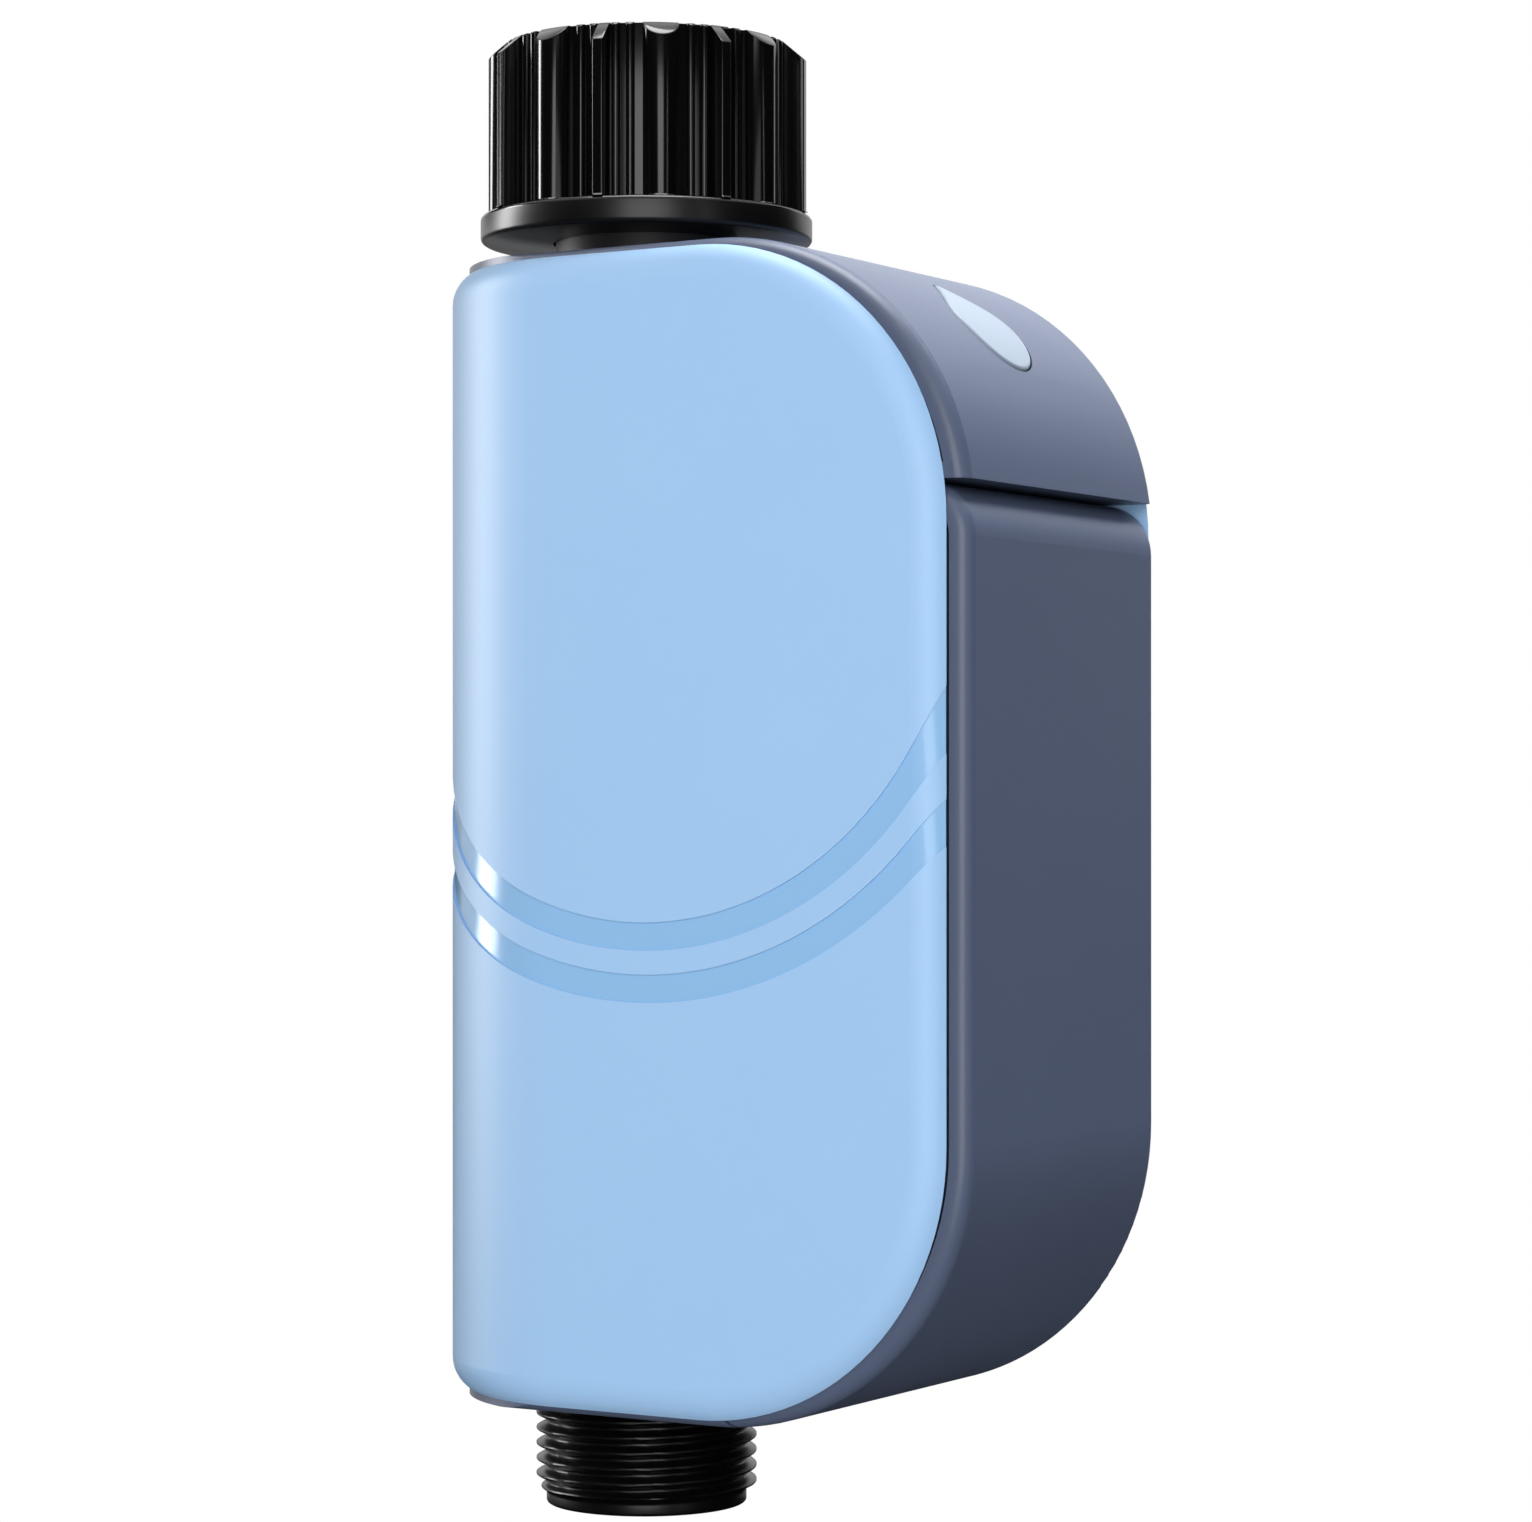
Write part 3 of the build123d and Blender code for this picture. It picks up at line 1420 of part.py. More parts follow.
# Screws that hold the rear shell
with BuildPart() as shell_screws:
    head_y = body_half_depth - screw_head_height
    for x, z in post_places:
        with Locations(Plane((x, head_y, z), z_dir=(0, 1, 0))):
            Cylinder(
                screw_head_radius, screw_head_height,
                align=(Align.CENTER, Align.CENTER, Align.MIN),
            )
            Cylinder(
                screw_radius, screw_length + skin_wall - screw_head_height,
                align=(Align.CENTER, Align.CENTER, Align.MAX),
            )
        with BuildSketch(Plane((x, body_half_depth, z), z_dir=(0, 1, 0))):
            Rectangle(shell_slot_length, shell_slot_width)
            Rectangle(shell_slot_width, shell_slot_length)
        extrude(amount=-shell_slot_depth, mode=Mode.SUBTRACT)
shell_screws.part.label = "shell_screws"
export_step(shell_screws.part, "parts/shell_screws.step")
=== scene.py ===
# %% [markdown]
# # A smart water timer for a garden tap
# This file is a lesson in cells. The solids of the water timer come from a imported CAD
# model, which is the fixed frame: nothing in it is moved. Blender adds what the eye wants:
# the plastic's grain, the threads as true spirals, soft light and a camera.

import json
import math

import bpy
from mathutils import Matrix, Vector


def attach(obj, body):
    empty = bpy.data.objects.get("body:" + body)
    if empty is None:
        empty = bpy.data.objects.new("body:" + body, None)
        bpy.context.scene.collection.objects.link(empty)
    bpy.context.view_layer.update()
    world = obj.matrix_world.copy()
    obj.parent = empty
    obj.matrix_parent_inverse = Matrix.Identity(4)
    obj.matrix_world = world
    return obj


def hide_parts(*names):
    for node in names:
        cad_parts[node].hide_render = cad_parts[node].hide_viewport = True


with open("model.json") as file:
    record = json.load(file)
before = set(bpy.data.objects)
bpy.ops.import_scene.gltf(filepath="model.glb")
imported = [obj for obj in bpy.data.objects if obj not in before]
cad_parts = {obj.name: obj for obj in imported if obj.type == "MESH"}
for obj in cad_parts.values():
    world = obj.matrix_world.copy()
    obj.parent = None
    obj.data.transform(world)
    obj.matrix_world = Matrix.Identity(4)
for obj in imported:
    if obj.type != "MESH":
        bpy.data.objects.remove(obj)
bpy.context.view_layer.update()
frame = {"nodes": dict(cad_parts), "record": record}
nodes = frame["nodes"]
MM = 0.001

# %% [markdown]
# ## Colour
# Paint shops and photographs give colours as sRGB hex values. Blender's sockets want
# linear light, so one function turns the one into the other.

# %% Hex colour to linear light
def hex_colour(code):
    channels = [int(code[i:i + 2], 16) / 255 for i in (0, 2, 4)]
    linear = [c / 12.92 if c <= 0.04045 else ((c + 0.055) / 1.055) ** 2.4 for c in channels]
    return (*linear, 1.0)


print("mid grey in linear light:", round(hex_colour("808080")[0], 3))

# %% [markdown]
# ## Camera
# The photograph was taken from a little to the right of the front, from about half a
# metre away, with the lens level: upright edges stay upright. A level lens with a
# vertical shift keeps them so. The angle and the distance were fitted to the case's edges.

# %% Camera
scene = bpy.context.scene
PHOTO_WIDTH = 1532
PHOTO_HEIGHT = 1522
FOCAL_PIXELS = 4128.1
HORIZON_ROW = 809.25
CAMERA_PLACE = Vector((268.9, -417.0, -78.7)) * MM
CAMERA_TURN = math.radians(31.16)

camera_data = bpy.data.cameras.new("photo_camera")
camera_data.sensor_width = 36.0
camera_data.lens = FOCAL_PIXELS / PHOTO_WIDTH * camera_data.sensor_width
camera_data.shift_y = (HORIZON_ROW - PHOTO_HEIGHT / 2) / PHOTO_WIDTH
camera_data.clip_start = 0.01
camera = bpy.data.objects.new("photo_camera", camera_data)
camera.location = CAMERA_PLACE
camera.rotation_euler = (math.radians(90), 0, CAMERA_TURN)
scene.collection.objects.link(camera)
scene.camera = camera
scene.view_settings.view_transform = "Standard"
print("lens:", round(camera_data.lens, 2), "mm, shift:", round(camera_data.shift_y, 4))

# %% [markdown]
# ## Backdrop and light
# The photograph has a plain white ground. The world is white to the camera and to
# mirror-like reflections, and a quieter grey to everything else, so that the plastics
# keep their written colours. The timer hangs from a tap, so the floor is well below it.

# %% World
world = bpy.data.worlds.new("white_studio")
world.use_nodes = True
scene.world = world
world.node_tree.nodes.clear()
WORLD_LIGHT = 0.3


def add_node(tree, kind, settings=None, links=None):
    """Adds a node, fills in its sockets and properties, and links what feeds it."""
    node = tree.nodes.new(kind)
    for name, value in (settings or {}).items():
        if isinstance(name, int) or name in node.inputs:
            node.inputs[name].default_value = value
        else:
            setattr(node, name, value)
    for name, source in (links or {}).items():
        tree.links.new(source, node.inputs[name])
    return node


tree = world.node_tree
WHITE = (1, 1, 1, 1)
soft_light = add_node(tree, "ShaderNodeBackground", {"Color": WHITE, "Strength": WORLD_LIGHT})
white_ground = add_node(tree, "ShaderNodeBackground", {"Color": WHITE, "Strength": 1.0})
ray = add_node(tree, "ShaderNodeLightPath")
seen = add_node(
    tree, "ShaderNodeMath", {"operation": "MAXIMUM"},
    {0: ray.outputs["Is Camera Ray"], 1: ray.outputs["Is Transmission Ray"]},
)
seen = add_node(
    tree, "ShaderNodeMath", {"operation": "MAXIMUM"},
    {0: seen.outputs[0], 1: ray.outputs["Is Glossy Ray"]},
)
chosen = add_node(
    tree, "ShaderNodeMixShader", {},
    {0: seen.outputs[0], 1: soft_light.outputs[0], 2: white_ground.outputs[0]},
)
add_node(tree, "ShaderNodeOutputWorld", {}, {"Surface": chosen.outputs[0]})
print("world light:", WORLD_LIGHT)

# %% [markdown]
# ## Floor
# A roll of white paper would lie under a product. The timer hangs in the air here, so the
# paper is a plain square far below. It glows white for the camera, and is matte paper for
# the light that reaches the timer from below.

# %% Floor
FLOOR_Z = -0.45
FLOOR_HALF = 4.0
floor_mesh = bpy.data.meshes.new("studio_floor")
floor_mesh.from_pydata(
    [(-FLOOR_HALF, -FLOOR_HALF, FLOOR_Z), (FLOOR_HALF, -FLOOR_HALF, FLOOR_Z),
     (FLOOR_HALF, FLOOR_HALF, FLOOR_Z), (-FLOOR_HALF, FLOOR_HALF, FLOOR_Z)],
    [], [(0, 1, 2, 3)],
)
studio_floor = bpy.data.objects.new("studio_floor", floor_mesh)
scene.collection.objects.link(studio_floor)


def new_material(name):
    """An empty node material and its tree."""
    material = bpy.data.materials.new(name)
    material.use_nodes = True
    material.node_tree.nodes.clear()
    return material, material.node_tree


# The camera and mirror-like rays see plain white paper, and all other light a grey matte
floor_material, tree = new_material("white_paper_roll")
paper = add_node(tree, "ShaderNodeBsdfDiffuse", {"Color": hex_colour("909090")})
glow = add_node(tree, "ShaderNodeEmission", {"Color": WHITE, "Strength": 1.0})
ray = add_node(tree, "ShaderNodeLightPath")
seen = add_node(
    tree, "ShaderNodeMath", {"operation": "MAXIMUM"},
    {0: ray.outputs["Is Camera Ray"], 1: ray.outputs["Is Glossy Ray"]},
)
mixed = add_node(
    tree, "ShaderNodeMixShader", {},
    {0: seen.outputs[0], 1: paper.outputs[0], 2: glow.outputs[0]},
)
add_node(tree, "ShaderNodeOutputMaterial", {}, {"Surface": mixed.outputs[0]})
floor_mesh.materials.append(floor_material)
print("floor at", FLOOR_Z)

# %% [markdown]
# ## Black cards
# A white room would put a grey veil on black and dark plastics. The photographer stands
# black cards round the timer, out of the picture, and leaves gaps for the lamps. Here the
# cards are a tall ring, open at the top, and low ones behind the timer. Only mirror-like rays
# meet them: they block no light and the camera never sees them.

# %% Black cards
CARD_RADIUS = 2.5
CARD_TOP = 1.8
CARD_FOOT = FLOOR_Z + 0.01
CARD_STEP = 6
# Where the cards change height, in degrees round the timer: 0 is right, 90 is behind
BACK_RIGHT = 72
BACK_LEFT = 154
FAR_LEFT = 175
BACK_CARD_TOP = -0.08
SLOT_TOP = 0.33
SLOT_FOOT = -0.35
card_points = []
card_faces = []


def bend_card(start, end, low, high):
    """A card bent round the timer, between two angles in degrees and two heights. Returns
    the points of its foot."""
    count = max(2, round((end - start) / CARD_STEP))
    foot = []
    for step in range(count + 1):
        angle = math.radians(start + (end - start) * step / count)
        x, y = CARD_RADIUS * math.cos(angle), CARD_RADIUS * math.sin(angle)
        foot.append(len(card_points))
        card_points.extend([(x, y, low), (x, y, high)])
        if step:
            last = len(card_points) - 1
            card_faces.append((last - 3, last - 1, last, last - 2))
    return foot


# The tall ring, with a flat card on the floor inside it
ring_foot = bend_card(FAR_LEFT, BACK_RIGHT + 360, CARD_FOOT, CARD_TOP)
card_faces.append(tuple(ring_foot))
# A low card behind the timer, and a slot of white between two cards behind its left
bend_card(BACK_RIGHT, BACK_LEFT, CARD_FOOT, BACK_CARD_TOP)
bend_card(BACK_LEFT, FAR_LEFT, SLOT_TOP, CARD_TOP)
bend_card(BACK_LEFT, FAR_LEFT, CARD_FOOT, SLOT_FOOT)
card_mesh = bpy.data.meshes.new("black_cards")
card_mesh.from_pydata(card_points, [], card_faces)
black_cards = bpy.data.objects.new("black_cards", card_mesh)
scene.collection.objects.link(black_cards)
black_cards.visible_camera = False
black_cards.visible_diffuse = False
black_cards.visible_transmission = False
black_cards.visible_shadow = False
card_material, tree = new_material("black_velvet_card")
velvet = add_node(tree, "ShaderNodeBsdfDiffuse", {"Color": hex_colour("050505")})
add_node(tree, "ShaderNodeOutputMaterial", {}, {"Surface": velvet.outputs[0]})
card_mesh.materials.append(card_material)
print("card faces:", len(card_faces))

# %% [markdown]
# ## Lamps
# A lamp does two jobs: it lights matte colour, and it shows as a mirror image in gloss.
# Blender can switch either off, so the two are set apart here. The overhead box, behind
# the timer, and the front box give only matte light, to the slate band and the blue panel.
# The box at the camera's side does both. The last three are seen only in mirror images:
# the far left strip as the long highlight down the round end, the right strip along the
# cover's edge, and the zenith box on what faces up.

# %% Lamps
OBJECT_MIDDLE = Vector((0.012, 0, -0.078))


def soft_box(name, place, size, power, mirrored=True, matte=True):
    """A rectangular lamp that looks at the middle of the timer. It can be left out of its
    mirror images, or give only those."""
    lamp = bpy.data.lights.new(name, "AREA")
    lamp.shape = "RECTANGLE"
    lamp.size, lamp.size_y = size
    lamp.energy = power
    holder = bpy.data.objects.new(name, lamp)
    holder.location = place
    aim = OBJECT_MIDDLE - Vector(place)
    holder.rotation_euler = aim.to_track_quat("-Z", "Y").to_euler()
    holder.visible_camera = False
    holder.visible_glossy = mirrored
    holder.visible_diffuse = matte
    scene.collection.objects.link(holder)
    return holder


soft_box("overhead_box", (0.1, 0.6, 0.8), (0.7, 0.6), 31.0, mirrored=False)
soft_box("front_box", (0.2, -0.93, 0.15), (0.8, 0.9), 4.1, mirrored=False)
soft_box("camera_side_box", (0.72, -1.15, 0.0), (0.8, 1.2), 9.6)
soft_box("far_left_strip", (-0.9, -0.17, 0.14), (0.3, 0.7), 8.5, matte=False)
soft_box("right_strip", (1.0, -0.3, 0.0), (0.06, 0.8), 0.4, matte=False)
soft_box("zenith_box", (0.0, 0.0, 1.3), (0.9, 0.9), 20.0, matte=False)

# %% [markdown]
# ## Plastics
# Moulded plastic is never quite flat in colour: the steel mould was spark-eroded or
# polished, and that grain of a few hundredths of a millimetre scatters light. One
# function builds such a plastic from its colour, its gloss and its grain.

# %% Moulded plastic
PLASTIC_GRAIN_DEPTH = 0.02
COLOUR_DRIFT_MM = 18


def grain_bump(tree, grain_mm, strength, distance_mm):
    """A noise in object space, one bump per grain of the mould's texture."""
    place = add_node(tree, "ShaderNodeTexCoord")
    noise = add_node(
        tree, "ShaderNodeTexNoise", {"Scale": 1 / (grain_mm * MM), "Detail": 3.0},
        {"Vector": place.outputs["Object"]},
    )
    bump = add_node(
        tree, "ShaderNodeBump", {"Strength": strength, "Distance": distance_mm * MM},
        {"Height": noise.outputs["Fac"]},
    )
    return place, bump


def moulded_plastic(name, colour, shade, roughness, grain_mm, grain_strength,
                    coat=0.0, coat_roughness=0.1):
    """Plastic with a slow colour drift, a mould grain and an optional skin gloss."""
    material, tree = new_material(name)
    place, bump = grain_bump(tree, grain_mm, grain_strength, PLASTIC_GRAIN_DEPTH)
    drift = add_node(
        tree, "ShaderNodeTexNoise", {"Scale": 1 / (COLOUR_DRIFT_MM * MM), "Detail": 2.0},
        {"Vector": place.outputs["Object"]},
    )
    mix = add_node(
        tree, "ShaderNodeMix", {"data_type": "RGBA"}, {"Factor": drift.outputs["Fac"]}
    )
    mix.inputs[6].default_value = hex_colour(colour)
    mix.inputs[7].default_value = hex_colour(shade)
    shader = add_node(
        tree, "ShaderNodeBsdfPrincipled",
        {"Roughness": roughness, "IOR": 1.49, "Coat Weight": coat,
         "Coat Roughness": coat_roughness},
        {"Base Color": mix.outputs[2], "Normal": bump.outputs[0]},
    )
    add_node(tree, "ShaderNodeOutputMaterial", {}, {"Surface": shader.outputs[0]})
    return material


# The curved grooves of the shells, in mm: lower half rings in the plane of X and Z
RING_CENTRE = (15.3, -50.3)
RING_RADII = (41.2, 47.1)
RING_WIDTH = 3.2
RING_MARGIN = 0.02


def shade_and_gloss_rings(material, colour, roughness):
    """Gives the two curved grooves of the shells a darker colour, painted shade for the
    recess, and a polished floor.
    """
    tree = material.node_tree
    shader = next(n for n in tree.nodes if n.type == "BSDF_PRINCIPLED")
    place = add_node(tree, "ShaderNodeTexCoord")
    split = add_node(tree, "ShaderNodeSeparateXYZ", {}, {0: place.outputs["Object"]})
    across = add_node(
        tree, "ShaderNodeMath", {"operation": "SUBTRACT", 1: RING_CENTRE[0] * MM},
        {0: split.outputs["X"]},
    )
    above = add_node(
        tree, "ShaderNodeMath", {"operation": "SUBTRACT", 1: RING_CENTRE[1] * MM},
        {0: split.outputs["Z"]},
    )
    flat = add_node(
        tree, "ShaderNodeCombineXYZ", {}, {0: across.outputs[0], 1: above.outputs[0]}
    )
    reach = add_node(
        tree, "ShaderNodeVectorMath", {"operation": "LENGTH"}, {0: flat.outputs[0]}
    )
    bands = []
    for radius in RING_RADII:
        middle = (radius + RING_WIDTH / 2) * MM
        bands.append(add_node(
            tree, "ShaderNodeMath",
            {"operation": "COMPARE", 1: middle, 2: (RING_WIDTH / 2 - RING_MARGIN) * MM},
            {0: reach.outputs["Value"]},
        ))
    either = add_node(
        tree, "ShaderNodeMath", {"operation": "MAXIMUM"},
        {0: bands[0].outputs[0], 1: bands[1].outputs[0]},
    )
    lower = add_node(
        tree, "ShaderNodeMath", {"operation": "LESS_THAN", 1: 0.0}, {0: above.outputs[0]}
    )
    inside = add_node(
        tree, "ShaderNodeMath", {"operation": "MULTIPLY"},
        {0: either.outputs[0], 1: lower.outputs[0]},
    )
    # Painted shade: a darker colour inside the grooves stands in for the shade of the recess
    plain_colour = shader.inputs["Base Color"].links[0].from_socket
    painted_ring_shade = add_node(
        tree, "ShaderNodeMix", {"data_type": "RGBA"},
        {"Factor": inside.outputs[0], 6: plain_colour},
    )
    painted_ring_shade.inputs[7].default_value = hex_colour(colour)
    tree.links.new(painted_ring_shade.outputs[2], shader.inputs["Base Color"])
    gloss = add_node(
        tree, "ShaderNodeMapRange",
        {"To Min": shader.inputs["Roughness"].default_value, "To Max": roughness},
        {"Value": inside.outputs[0]},
    )
    tree.links.new(gloss.outputs[0], shader.inputs["Roughness"])


def roughen_below(material, height_mm, roughness):
    """Leaves the surface below a height with the mould's duller finish."""
    tree = material.node_tree
    shader = next(n for n in tree.nodes if n.type == "BSDF_PRINCIPLED")
    place = add_node(tree, "ShaderNodeTexCoord")
    split = add_node(tree, "ShaderNodeSeparateXYZ", {}, {0: place.outputs["Object"]})
    below = add_node(
        tree, "ShaderNodeMath", {"operation": "LESS_THAN", 1: height_mm * MM},
        {0: split.outputs["Z"]},
    )
    gloss = add_node(
        tree, "ShaderNodeMapRange",
        {"To Min": shader.inputs["Roughness"].default_value, "To Max": roughness},
        {"Value": below.outputs[0]},
    )
    tree.links.new(gloss.outputs[0], shader.inputs["Roughness"])


# ABS from a polished mould: light blue with a satin sheen
blue_abs = moulded_plastic("blue_abs_satin_moulded", "A0C8F0", "9DC5EE", 0.47, 0.25, 0.06)
# The grooves' darker blue is painted shade in the recess; their glossier floor is the mould's
# polish
shade_and_gloss_rings(blue_abs, "90BEE8", 0.2)
# ABS from an eroded mould: slate grey, with a broad soft sheen
slate_abs = moulded_plastic("slate_abs_matte_moulded", "525D76", "4F5A72", 0.36, 0.2, 0.1)
# The button's ABS: the lamps lift this grey-blue to the pale tone of the photograph
pale_abs = moulded_plastic("pale_abs_satin_moulded", "8A97A8", "8694A5", 0.35, 0.25, 0.05)
# Nylon from a polished mould: near black, and glossy on the nut's grip. The nut's flange
# and the spout, which lie below this height, are duller
black_nylon = moulded_plastic("black_nylon_moulded", "060607", "080809", 0.15, 0.3, 0.004)
DULL_NYLON_TOP = -8.2
roughen_below(black_nylon, DULL_NYLON_TOP, 0.33)
print("outer plastics:", len(bpy.data.materials))

# %% [markdown]
# ## Plastics inside the case
# These show only with the cover open or a piece taken out, but each keeps its own look,
# so that a reader who opens the model can tell nylon from rubber and board from chip.

# %% Inner plastics
# Grey nylon with short glass fibres: the fibres give a dull, slightly uneven face
grey_nylon = moulded_plastic("grey_nylon_moulded", "1E1E20", "232326", 0.5, 0.15, 0.2)
# The gear case's dark ABS: even and half matte
case_abs = moulded_plastic("dark_abs_gear_case", "303033", "2C2C2F", 0.5, 0.2, 0.1)
# Moulded rubber: black and quite without gloss
rubber = moulded_plastic("black_rubber_moulded", "101010", "151515", 0.7, 0.3, 0.1)
# Acetal for gears: creamy white and slippery to the eye
acetal = moulded_plastic("white_acetal_moulded", "E4E4DE", "DEDED6", 0.35, 0.3, 0.04)
# Turned seal plastic: whiter and a little duller than the acetal
seal_plastic = moulded_plastic("white_ptfe_turned", "EEEEEA", "E8E8E4", 0.45, 0.3, 0.04)
# The filter's natural plastic: greyish white
filter_plastic = moulded_plastic(
    "natural_polyethylene_moulded", "C8CCCC", "C0C4C4", 0.5, 0.3, 0.06
)
# The cells' shrink sleeve: dark film with a thin gloss on top
wrap = moulded_plastic("battery_shrink_sleeve", "33373C", "30343A", 0.3, 0.4, 0.03, 0.3)
# Solder mask: green lacquer, glossy over the board
solder_mask = moulded_plastic("green_solder_mask", "12502E", "0E4527", 0.3, 0.3, 0.05, 0.4)
# Chip packages of filled epoxy: black and dry
chip_epoxy = moulded_plastic("black_chip_epoxy", "151515", "191919", 0.6, 0.15, 0.2)
print("plastics:", len(bpy.data.materials))

# %% [markdown]
# ## Metals
# Brass, plated steel and spring strip. A metal keeps the default index of refraction;
# its colour is what it mirrors. Turning and rolling leave fine marks, which are drawn here
# as a fine noise in the height and in the roughness.

# %% Metals
METAL_MARK_DEPTH = 0.01
METAL_ROUGHNESS_DRIFT = 0.05


def worked_metal(name, colour, roughness, mark_mm, strength):
    """A metal with fine marks left by rolling or turning."""
    material, tree = new_material(name)
    place, bump = grain_bump(tree, mark_mm, strength, METAL_MARK_DEPTH)
    speckle = add_node(
        tree, "ShaderNodeTexNoise", {"Scale": 1 / (2 * mark_mm * MM), "Detail": 2.0},
        {"Vector": place.outputs["Object"]},
    )
    rough = add_node(
        tree, "ShaderNodeMapRange",
        {"To Min": roughness - METAL_ROUGHNESS_DRIFT,
         "To Max": roughness + METAL_ROUGHNESS_DRIFT},
        {"Value": speckle.outputs["Fac"]},
    )
    shader = add_node(
        tree, "ShaderNodeBsdfPrincipled",
        {"Base Color": hex_colour(colour), "Metallic": 1.0},
        {"Roughness": rough.outputs[0], "Normal": bump.outputs[0]},
    )
    add_node(tree, "ShaderNodeOutputMaterial", {}, {"Surface": shader.outputs[0]})
    return material


# Turned brass: warm yellow
brass = worked_metal("brass_turned", "D9B86C", 0.28, 0.2, 0.1)
# Zinc on steel: cool grey
steel = worked_metal("steel_zinc_plated", "C4C6C8", 0.3, 0.2, 0.1)
# The motor's drawn can: darker and duller than the plated screws
can_steel = worked_metal("motor_can_drawn_steel", "B4B5B8", 0.35, 0.3, 0.1)
# Nickel on spring strip: a faint warm tint and the clearest mirror of the four
strip_nickel = worked_metal("nickel_spring_strip", "C9C6BC", 0.25, 0.2, 0.1)
print("materials:", len(bpy.data.materials))

# %% [markdown]
# ## Each node gets its material
# The record names a material slot for every node, so one table from slot to material
# dresses the whole frame.

# %% Materials on the CAD nodes
SLOT_MATERIALS = {
    "blue_plastic": blue_abs, "slate_plastic": slate_abs, "pale_plastic": pale_abs,
    "black_nylon": black_nylon, "grey_nylon": grey_nylon, "black_rubber": rubber,
    "filter_plastic": filter_plastic, "white_acetal": acetal, "white_seal": seal_plastic,
    "brass": brass, "steel": steel, "motor_can": can_steel, "gear_case": case_abs,
    "board_green": solder_mask, "chip_black": chip_epoxy, "cell_wrap": wrap,
    "contact_metal": strip_nickel,
}
for part in frame["record"]["subparts"]:
    dressed = nodes[part["node"]]
    for slot in dressed.material_slots:
        slot.material = SLOT_MATERIALS[part["material_slot"]]

# %% [markdown]
# ## Turned pieces with lobes and threads
# A nut or a threaded spout is almost a lathe piece: each height has a radius, but the
# radius also changes a little round the axis, where a lobe or a thread goes by. So the
# mesh is a grid of rings, and a function gives the radius for every height and angle.
# A Screw modifier would give only the plain turned shape.

# %% A mesh of rings
SMOOTH_BELOW = math.radians(38)


def ring_mesh(name, rows, steps, material, body):
    """Closed skin round the Z axis. Each row is (height in mm, radius in mm at an angle),
    and its height may also be a function of the angle. Steps is a count or the angles."""
    angles = steps
    if isinstance(steps, int):
        angles = [2 * math.pi * step / steps for step in range(steps)]
    steps = len(angles)
    vertices = []
    for height_at, radius_at in rows:
        for step in range(steps):
            angle = angles[step]
            height = height_at(angle) if callable(height_at) else height_at
            radius = radius_at(angle, height)
            vertices.append(
                (radius * math.cos(angle) * MM, radius * math.sin(angle) * MM, height * MM)
            )
    faces = []
    for row in range(len(rows)):
        following = (row + 1) % len(rows)
        for step in range(steps):
            beside = (step + 1) % steps
            faces.append((
                row * steps + step, row * steps + beside,
                following * steps + beside, following * steps + step,
            ))
    mesh = bpy.data.meshes.new(name)
    mesh.from_pydata(vertices, [], faces)
    mesh.shade_smooth()
    mesh.set_sharp_from_angle(angle=SMOOTH_BELOW)
    mesh.materials.append(material)
    piece = bpy.data.objects.new(name, mesh)
    scene.collection.objects.link(piece)
    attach(piece, body)
    print(name, "faces:", len(faces))
    return piece


def plain(radius):
    """A radius that is the same at every angle."""
    return lambda angle, height: radius


def rounded_corner(corner, start_angle, radius, outward, steps=4):
    """Points of a small quarter round in the half profile, as (radius, height) pairs."""
    points = []
    for step in range(steps + 1):
        turn = math.radians(start_angle + outward * 90 * step / steps)
        points.append(
            (corner[0] + radius * math.cos(turn), corner[1] + radius * math.sin(turn))
        )
    return points


print("edges sharper than", round(math.degrees(SMOOTH_BELOW)), "degrees stay sharp")

# %% [markdown]
# ## Inlet nut
# The real nut is glass-filled nylon. Its grip has eight repeats: a round lobe, two thin
# ribs, a tall square ridge and two more ribs. The cone at the top cuts them all off, so
# each lobe ends in a small half-moon. Inside is a G 3/4 pipe thread.

# %% Nut: the grip's lobes
NUT_RADIUS = 19.0
NUT_TOP = 12.7
NUT_BOTTOM = -10.9
NUT_RIM = 17.0
NUT_CONE_SLOPE = 0.85
NUT_FLANGE_RADIUS = 19.9
NUT_FLANGE_HEIGHT = 3.2
GRIP_BASE = 16.6
GRIP_REPEATS = 8
GRIP_START = math.radians(-51.6)
LOBE_ROUND = 2.1
RIB_ROUND = 0.5
RIB_TOP = 17.3
RIB_PLACES = (12.2, 18.0)
RIDGE_TOP = 19.7
RIDGE_HALF = 0.65
RIDGE_ROUND = 0.2
RIDGE_REACH = math.radians(4)
# Each round bump: its place in degrees from the lobe, its centre's radius, its own radius
BUMPS = [(0.0, NUT_RADIUS - LOBE_ROUND, LOBE_ROUND)]
for side in (-1, 1):
    for place in RIB_PLACES:
        BUMPS.append((side * place, RIB_TOP - RIB_ROUND, RIB_ROUND))
RIDGE_CORNER = math.atan2(RIDGE_HALF - RIDGE_ROUND, RIDGE_TOP - RIDGE_ROUND)


def round_bump(gap, centre, bump):
    """Outer radius of a round bump whose centre is at this angle, or nothing beside it."""
    under = bump ** 2 - (centre * math.sin(gap)) ** 2
    return centre * math.cos(gap) + math.sqrt(under) if under > 0 else 0.0


